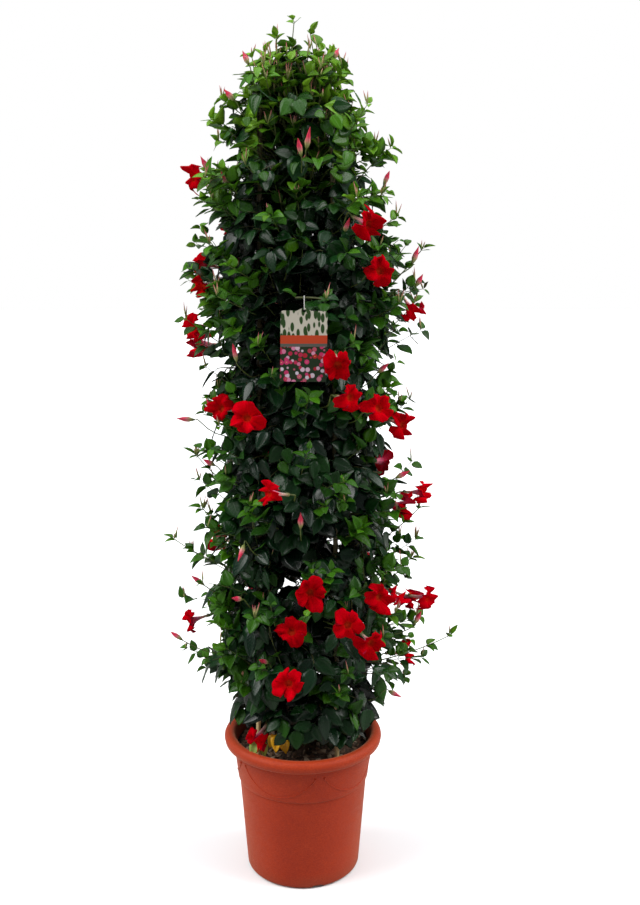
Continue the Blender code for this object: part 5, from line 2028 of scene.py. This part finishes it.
def leafPlaces(rng, rows):
    # a point for each leaf, with what the tree needs to place it
    mesh = bpy.data.meshes.new("leaf places")
    mesh.from_pydata([tuple(leaf[0]) for leaf, _ in rows], [], [])
    turns, sizes, kinds, tones, shades, aged = [], [], [], [], [], []
    for (foot, heading, face, length, width), tone in rows:
        across = heading.cross(face)
        basis = Matrix((across, heading, face)).transposed()
        turns += list(basis.to_euler())
        sizes += [width, length, length]
        young = rng.random() < tone - 0.2
        first = leafShape["youngFrom"] if young else 0
        kinds.append(rng.randrange(first, leafShape["shapes"] if young else leafShape["youngFrom"]))
        high = shareOf(foot.z, 1.10, 0.30)
        # painted shade: the deeper a leaf's foot lies inside the growth, the darker its tone and shade
        shadeDepth = min(max(limitAt(foot, -0.024) - flatReach(foot), 0.0) / 0.034, 1.0)
        # painted light: leaves on the left and right flanks, out of the depth, get a lighter tone
        side = abs(foot.x) / (flatReach(foot) + 0.001) * (1.0 - shadeDepth)
        # painted shade: leaves low down, near the floor, get a darker shade
        low = min(max((0.52 - foot.z) / 0.15, 0.0), 1.0)
        old = tone >= 2.0
        # the tone is lighter towards the top, partly for younger leaves and partly as painted light from
        # above
        fresh = tone * (0.50 + 0.33 * high) + 0.12 * high + 0.10 * side**3 + 0.05 * low - 0.25 * shadeDepth
        fresh = tone % 2.0 if old else max(fresh, 0.24 * high)
        tones.append(min(max(fresh + rng.gauss(0.04, 0.08), 0.0), 1.0))
        shades.append(0.9 if old else rng.random() - (1.2 - 0.6 * high) * shadeDepth - 0.30 * low)
        aged.append(1.0 if old else 0.0)
    for name, kind, values in (
        ("turn", "FLOAT_VECTOR", turns),
        ("size", "FLOAT_VECTOR", sizes),
        ("kind", "INT", kinds),
        ("tone", "FLOAT", tones),
        ("shade", "FLOAT", shades),
        ("aged", "FLOAT", aged),
    ):
        field = mesh.attributes.new(name, kind, "POINT").data
        field.foreach_set("vector" if kind == "FLOAT_VECTOR" else "value", values)
    return mesh


def makeFoliage():
    shapes = bpy.data.collections.new("Leaf shapes")
    for index in range(leafShape["shapes"]):
        shapes.objects.link(makeLeafShape(index))
    tree = makeLeafTree()
    values = {"Leaf shapes": shapes, "Leaf size": 1.0, "Finish": leafFinish}
    for vine, plant in enumerate(plants):
        rng = random.Random(f"leaf looks {vine}")
        mesh = grownMesh(leafPlaces(rng, plant["leaves"]), tree, values)
        for name in ("turn", "size", "kind"):
            if name in mesh.attributes:
                mesh.attributes.remove(mesh.attributes[name])
        addPiece(f"foliage_{vine + 1}", mesh, leafFinish, f"vine_{vine + 1}")
        print("foliage", vine + 1, len(mesh.polygons), "faces")
    for shape in list(shapes.objects):
        bpy.data.objects.remove(shape)
    bpy.data.collections.remove(shapes)


def makeTwigs():
    thin = [path for plant in plants for path in plant["twigs"]]
    addPiece("twigs", sweptMesh(thin, 5, twigFinish), twigFinish)
    thick = []
    for vine in range(vines["count"]):
        for path in stemPaths(vine):
            line = smoothLine(path, 6)
            thick.append((line, [vines["stemRadius"]] * len(line), 0.1))
    addPiece("stems", sweptMesh(thick, 10, twigFinish), twigFinish)


makeFoliage()
makeTwigs()
print("leaves and twigs made")

# Buds: a spindle with a slight twist

bud = {
    "sides": 8,
    "rows": ((0.0, 0.30), (0.12, 0.62), (0.32, 1.0), (0.55, 0.86), (0.78, 0.45), (0.93, 0.16)),
    "radius": 0.0040,
    "ridge": 0.10,
    "twist": 1.6,
}
# how wide, how long and how ripe in colour the big buds and the small young ones are
ripeBud, youngBud = (1.14, 1.28, 1.0), (0.34, 1.0, 0.52)


def makeBuds():
    points, faces, places = [], [], []
    sides = bud["sides"]
    for plant in plants:
        rows = [(each, ripeBud) for each in plant["buds"]] + [(each, youngBud) for each in plant["budlets"]]
        for (foot, axis, length), (slim, longer, ripe) in rows:
            length *= longer
            turn = axis.to_track_quat("Z", "Y").to_matrix()
            first = len(points)
            for along, wide in bud["rows"]:
                for i in range(sides):
                    angle = 2 * math.pi * i / sides + along * bud["twist"]
                    ridge = 1.0 + bud["ridge"] * (1 if i % 2 else -1)
                    x, y, z = ringPoint(bud["radius"] * slim * wide * ridge, angle, along * length)
                    points.append(foot + turn @ Vector((x, y, z)))
                    places.append((i / sides, along * ripe))
            count = len(bud["rows"])
            points += [foot, foot + axis * length]
            places += [(0.0, 0.0), (0.0, ripe)]
            low, tip = len(points) - 2, len(points) - 1
            for i in range(sides):
                after = (i + 1) % sides
                faces.append((low, first + after, first + i))
                faces.append((first + (count - 1) * sides + i, first + (count - 1) * sides + after, tip))
                for row in range(count - 1):
                    a, b = first + row * sides, first + (row + 1) * sides
                    faces.append((a + i, a + after, b + after, b + i))
    mesh = newMesh("buds", points, faces)
    setPlaces(mesh, places)
    mesh.shade_smooth()
    addPiece("buds", mesh, budFinish)


makeBuds()
print("buds made")

# Flowers: a pink tube that opens into five overlapping, twisted lobes

petals = {
    "lobes": 5,
    "perLobe": 12,
    "tube": ((0.0, 0.9), (0.18, 0.95), (0.38, 1.15), (0.56, 1.8), (0.72, 2.5), (0.82, 3.1)),
    "throatRow": 4,
    "face": (0.16, 0.34, 0.54, 0.74, 0.90, 1.0),
    "thickness": 0.0007,
    "outline": (
        (0, 0.78),
        (5, 0.88),
        (14, 0.96),
        (25, 0.99),
        (36, 0.99),
        (46, 1.06),
        (51, 1.03),
        (58, 0.95),
        (66, 0.86),
        (72, 0.78),
    ),
    "size": 0.77,
    "lean": 0.45,
}


def lobeReach(angle):
    angle %= 72.0
    rows = petals["outline"]
    for (first, low), (last, high) in zip(rows, rows[1:]):
        if angle <= last:
            share = (angle - first) / (last - first)
            return low + (high - low) * share
    return rows[-1][1]


def flowerPoints(radius, wave, rng):
    # rings of the outer skin from the tube's foot to the lobes' edge
    count = petals["lobes"] * petals["perLobe"]
    length, tube = flowers["tubeLength"], flowers["tubeRadius"]
    throat = tube * petals["tube"][-1][1]
    phases = [rng.uniform(0, 6.28) for _ in range(4)]
    sizes = [rng.uniform(0.74, 1.08) for _ in range(petals["lobes"])]
    bends = [rng.choice((-0.6, 0.0, 0.3, 0.8, 1.4)) * rng.uniform(0.7, 1.2) for _ in range(petals["lobes"])]
    twists = [rng.uniform(-0.5, 0.9) for _ in range(petals["lobes"])]
    shifts = [rng.uniform(-9.0, 9.0) for _ in range(petals["lobes"])]
    rings = []
    for along, wide in petals["tube"]:
        ring = []
        for i in range(count):
            angle = 2 * math.pi * i / count
            ridge = 1.0 + 0.05 * math.cos(5 * angle) * min(along * 2, 1.0)
            ring.append((Vector(ringPoint(tube * wide * ridge, angle, along * length)), along * 0.45))
        rings.append(ring)
    for share in petals["face"]:
        ring = []
        for i in range(count):
            degrees = 360.0 * i / count
            angle = math.radians(degrees + 8.0 * share * math.sin(math.radians(2 * degrees) + phases[2]))
            lobe = int(degrees // 72.0) % petals["lobes"]
            inLobe = (degrees % 72.0) / 72.0
            hump = math.sin(math.pi * inLobe)
            edge = radius * petals["size"] * lobeReach(inLobe * 72.0 + shifts[lobe] * hump)
            edge *= 1.0 + (sizes[lobe] - 1.0) * hump
            reach = throat + (edge - throat) * share
            lift = 0.82 * length + (0.18 * length) * (1 - (1 - share) ** 2.2)
            tilt = wave * (1.8 * inLobe - 0.9) * (1.0 + twists[lobe] * share) * share
            curl = -(edge - throat) * bends[lobe] * hump * share**1.6 - 0.004 * share**5
            ruffle = 0.0026 * math.sin(angle * 11 + phases[0]) + 0.0013 * math.sin(angle * 23 + phases[1])
            ruffle *= share**3
            crease = -0.0020 * math.exp(-(((inLobe - 0.45) / 0.10) ** 2)) * share * (1 - share) * 4
            height = lift + tilt + curl + ruffle + crease
            ring.append((Vector(ringPoint(reach, angle, height)), 0.45 + 0.55 * share))
        rings.append(ring)
    return rings


def addFlower(points, faces, places, inside, rings, place):
    # the outer skin is the whole trumpet, and the inner one starts at the throat's floor
    count, rows = len(rings[0]), len(rings)
    first = len(points)
    for ring in rings:
        for i, (point, along) in enumerate(ring):
            points.append(place @ point)
            places.append((i / count, along))
            inside.append(0.0)
    second = len(points)
    skin = range(petals["throatRow"], rows)
    for row in skin:
        ring, before, after = rings[row], rings[row - 1], rings[min(row + 1, rows - 1)]
        thick = petals["thickness"] * (0.4 if row == rows - 1 else 1.0)
        for i, (point, along) in enumerate(ring):
            up = after[i][0] - before[i][0]
            around = ring[(i + 1) % count][0] - ring[i - 1][0]
            points.append(place @ (point + up.cross(around).normalized() * thick))
            places.append((i / count, along))
            inside.append(1.0)
    foot = len(points)
    floor = flowers["tubeLength"] * petals["tube"][petals["throatRow"]][0]
    points += [place @ raised(0.0), place @ raised(floor + 0.001)]
    places += [(0.0, 0.0), (0.0, 0.0)]
    inside += [0.0, 1.0]
    for i in range(count):
        after = (i + 1) % count
        faces.append((foot, first + after, first + i))
        faces.append((foot + 1, second + i, second + after))
        for row in range(rows - 1):
            a, b = first + row * count, first + (row + 1) * count
            faces.append((a + i, a + after, b + after, b + i))
        for row in range(len(skin) - 1):
            a, b = second + row * count, second + (row + 1) * count
            faces.append((a + i, b + i, b + after, a + after))
        a, b = first + (rows - 1) * count, second + (len(skin) - 1) * count
        faces.append((a + i, a + after, b + after, b + i))


def makeFlowers():
    points, faces, places, inside, shades = [], [], [], [], []
    for index, (face, axis, radius) in enumerate(flowerPlaces):
        rng = random.Random(f"flower {index}")
        size = radius * (1.12 if index == len(frontFlowers) - 1 else 1.0)
        rings = flowerPoints(size, 0.0080 + 0.0012 * (index % 4), rng)
        lean = axis + Vector([rng.uniform(-0.14, 0.14) for _ in range(3)])
        lean.y -= petals["lean"] if abs(axis.x) > 0.7 and axis.y < 0.5 else 0.0
        turn = lean.to_track_quat("Z", "Y").to_matrix().to_4x4()
        roll = Matrix.Rotation(math.radians(47.0 * index), 4, "Z")
        place = Matrix.Translation(face - axis * flowers["tubeLength"]) @ turn @ roll
        addFlower(points, faces, places, inside, rings, place)
        shades += [rng.uniform(0.60, 1.08)] * (len(points) - len(shades))
    mesh = newMesh("flowers", points, faces)
    setFloats(mesh, "inside", inside)
    setFloats(mesh, "shade", shades)
    setPlaces(mesh, places)
    mesh.shade_smooth()
    addPiece("flowers", mesh, petalFinish, *[f"bloom_{i + 1}" for i in range(flowers["count"])])


# Sepals: five narrow points round each flower's foot

sepal = {"length": 0.0085, "width": 0.0022, "gap": 0.0028, "count": 5, "tone": 0.9}


def makeSepals():
    points, faces = [], []
    for face, axis, _ in flowerPlaces:
        turn = axis.to_track_quat("Z", "Y").to_matrix().to_4x4()
        place = Matrix.Translation(face - axis * flowers["tubeLength"]) @ turn
        for index in range(sepal["count"]):
            turn = Matrix.Rotation(2 * math.pi * index / sepal["count"], 4, "Z")
            a = len(points)
            near, wide, high = sepal["gap"], sepal["width"] / 2, sepal["length"]
            for x, y, z in (
                (near * 0.3, -wide * 0.8, -0.0004),
                (near * 0.3, wide * 0.8, -0.0004),
                (near + 0.0006, 0.0, 0.0),
                (near, -wide, high * 0.4),
                (near, wide, high * 0.4),
                (near + 0.0010, 0.0, high * 0.4),
                (near + 0.0022, 0.0, high),
            ):
                points.append(place @ turn @ Vector((x, y, z)))
            faces += [(a, a + 2, a + 1), (a, a + 3, a + 5, a + 2), (a + 2, a + 5, a + 4, a + 1)]
            faces += [(a, a + 1, a + 4, a + 3), (a + 3, a + 4, a + 6)]
            faces += [(a + 3, a + 6, a + 5), (a + 5, a + 6, a + 4)]
    mesh = newMesh("sepals", points, faces)
    cleanMesh(mesh)
    setFloats(mesh, "tone", [sepal["tone"]] * len(mesh.vertices))
    addPiece("sepals", mesh, twigFinish)


makeFlowers()
makeSepals()
print("flowers made")

# Hang tag: a plain generic design, leaves above, a band, and round blossoms below

tag = {
    "cream": (0.56, 0.53, 0.44),
    "green": (0.022, 0.060, 0.012),
    "band": (0.50, 0.055, 0.015),
    "strip": (0.10, 0.10, 0.085),
    "darkGreen": (0.010, 0.026, 0.008),
    "bandTop": 1.0330,
    "bandLow": 1.0200,
    "stripLow": 1.0150,
}


def makeTagFinish():
    finish, tree, shader = newFinish("Printed card", 0.35, Specular_IOR_Level=0.25)
    place = objectPlace(tree)
    height = partsOf(tree, place)[2]
    slant, thin = (0.0, 0.6, 0.0), (150.0, 1.0, 60.0)
    slanted = shaderNode(tree, "ShaderNodeMapping", Vector=place, Rotation=slant, Scale=thin)
    blades = shaderNode(tree, "ShaderNodeTexVoronoi", Vector=slanted.outputs[0], Scale=1.0)
    leafMask = rangeNode(tree, blades.outputs["Distance"], 0.42, 0.50, 1.0, 0.0)
    upper = blendNode(tree, leafMask, opaque(tag["cream"]), opaque(tag["green"]))
    dots = shaderNode(tree, "ShaderNodeTexVoronoi", Vector=place, Scale=125.0)
    kind = shaderNode(tree, "ShaderNodeSeparateColor", Color=dots.outputs["Color"]).outputs[0]
    bright = rampNode(tree, kind, [
        (0.0, (0.60, 0.58, 0.66)),
        (0.35, (0.62, 0.20, 0.34)),
        (0.6, (0.38, 0.010, 0.015)),
        (1.0, (0.55, 0.035, 0.15)),
    ])
    blossom = rangeNode(tree, dots.outputs["Distance"], 0.44, 0.52, 1.0, 0.0)
    lower = blendNode(tree, blossom, opaque(tag["darkGreen"]), bright)
    heart = rangeNode(tree, dots.outputs["Distance"], 0.06, 0.10, 1.0, 0.0)
    lower = blendNode(tree, heart, lower, (0.80, 0.55, 0.08, 1.0))
    above = mathNode(tree, "GREATER_THAN", height, tag["bandTop"])
    picture = blendNode(tree, above, opaque(tag["band"]), upper)
    below = mathNode(tree, "LESS_THAN", height, tag["bandLow"])
    picture = blendNode(tree, below, picture, opaque(tag["strip"]))
    picture = blendNode(tree, mathNode(tree, "LESS_THAN", height, tag["stripLow"]), picture, lower)
    tree.links.new(picture, shader.inputs["Base Color"])
    grain = placeGroup(tree, grainGroup, Scale=1500.0, Roughness=0.5)
    setBump(tree, shader, grain.outputs["Height"], 0.0001, 0.4)
    return finish


def makeTag():
    node = frame["nodes"]["label_card"]
    node.data.materials.clear()
    node.data.materials.append(makeTagFinish())
    finish, tree, shader = newFinish("Tie plastic", 0.35)
    mottle = placeGroup(tree, mottleGroup, Patch_scale=300.0, Speck_scale=900.0, Speck_amount=0.2)
    white = blendNode(tree, mottle.outputs["Patches"], (0.78, 0.78, 0.76, 1.0), (0.70, 0.70, 0.68, 1.0))
    tree.links.new(white, shader.inputs["Base Color"])
    low = card["top"] + card["hump"] - 0.004 + 0.003 - tie["wire"] - 0.0006
    high = tagTwigPoints()[-1].z + tie["twigRadius"] + tie["wire"] + 0.0006
    line = []
    for middle, start in ((high - tie["spread"], 0), (low + tie["spread"], 180)):
        for i in range(13):
            angle = math.radians(start + 15.0 * i)
            y = card["depth"] + tie["spread"] * math.cos(angle)
            line.append(Vector((card["side"], y, middle + tie["spread"] * math.sin(angle))))
    work = bmesh.new()
    rings = []
    for i, point in enumerate(line):
        along = (line[(i + 1) % len(line)] - line[i - 1]).normalized()
        side = Vector((1.0, 0.0, 0.0))
        lift = along.cross(side)
        ring = []
        for k in range(10):
            angle = 2 * math.pi * k / 10
            around = side * math.cos(angle) + lift * math.sin(angle)
            ring.append(work.verts.new(point + around * tie["wire"]))
        rings.append(ring)
    for i, ring in enumerate(rings):
        other = rings[(i + 1) % len(rings)]
        for k in range(10):
            work.faces.new((ring[k], ring[(k + 1) % 10], other[(k + 1) % 10], other[k]))
    bmesh.ops.recalc_face_normals(work, faces=work.faces)
    mesh = bpy.data.meshes.new("tagTie")
    work.to_mesh(mesh)
    work.free()
    mesh.shade_smooth()
    addPiece("tagTie", mesh, finish, "label_tie")


makeTag()
print("tag made")

# Floor, light and camera

stage = {
    "floor": (0.92, 0.92, 0.92),
    "floorWorn": (0.89, 0.89, 0.89),
    "floorBounce": (0.38, 0.36, 0.35),
    "backdrop": (1.0, 1.0, 1.0),
    "skyStops": (
        (0.0, (0.16, 0.16, 0.16)),
        (0.62, (0.20, 0.20, 0.20)),
        (0.80, (0.26, 0.28, 0.30)),
        (0.90, (0.40, 0.42, 0.45)),
        (0.95, (2.0, 2.08, 2.18)),
    ),
    "sun": 2.4,
    "sunAngle": 40.0,
    "sunColour": (1.0, 0.99, 0.97),
    "floorHalf": 30.0,
    "floorDrop": 0.0002,
    "lens": 39.8,
    "sensor": 36.0,
    "lookDown": 10.1,
    "lookAside": -1.04,
}


def makeFloor():
    mesh = bpy.data.meshes.new("floor")
    half = stage["floorHalf"]
    corners = [(x * half, y * half, 0.0) for x, y in ((-1, -1), (1, -1), (1, 1), (-1, 1))]
    mesh.from_pydata(corners, [], [(0, 1, 2, 3)])
    finish, tree, shader = newFinish("Pale floor", 0.9)
    mottle = placeGroup(tree, mottleGroup, Patch_scale=2.0, Speck_scale=200.0, Speck_amount=0.0)
    pale = blendNode(tree, mottle.outputs["Patches"], opaque(stage["floor"]), opaque(stage["floorWorn"]))
    seen = tree.nodes.new("ShaderNodeLightPath").outputs["Is Camera Ray"]
    tree.links.new(blendNode(tree, seen, opaque(stage["floorBounce"]), pale), shader.inputs["Base Color"])
    mesh.materials.append(finish)
    floor = bpy.data.objects.new("floor", mesh)
    bpy.context.scene.collection.objects.link(floor)
    floor.location.z = -stage["floorDrop"]


def addSun(name, source):
    light = bpy.data.lights.new(name, "SUN")
    light.energy = stage["sun"]
    light.angle = math.radians(stage["sunAngle"])
    light.color = stage["sunColour"]
    lamp = bpy.data.objects.new(name, light)
    bpy.context.scene.collection.objects.link(lamp)
    lamp.location = source
    lamp.rotation_euler = (-lamp.location).to_track_quat("-Z", "Y").to_euler()


def makeStage():
    makeFloor()
    world = bpy.data.worlds.new("studio")
    bpy.context.scene.world = world
    world.use_nodes = True
    tree = world.node_tree
    back = tree.nodes["Background"]
    place = tree.nodes.new("ShaderNodeTexCoord").outputs["Generated"]
    height = partsOf(tree, place)[2]
    sky = rampNode(tree, rangeNode(tree, height, -1.0, 1.0), stage["skyStops"])
    seen = tree.nodes.new("ShaderNodeLightPath").outputs["Is Camera Ray"]
    tree.links.new(blendNode(tree, seen, sky, opaque(stage["backdrop"])), back.inputs["Color"])
    addSun("left light", (-3.0, -0.6, 3.0))
    addSun("right light", (3.0, -0.4, 2.7))
    bpy.context.scene.view_settings.view_transform = "Standard"


def makeCamera():
    lens = bpy.data.cameras.new("camera")
    lens.lens = stage["lens"]
    lens.sensor_width = stage["sensor"]
    camera = bpy.data.objects.new("camera", lens)
    bpy.context.scene.collection.objects.link(camera)
    camera.location = photoEye
    camera.rotation_euler = (math.radians(90.0 - stage["lookDown"]), 0.0, math.radians(stage["lookAside"]))
    bpy.context.scene.camera = camera


makeStage()
makeCamera()
print("stage set")
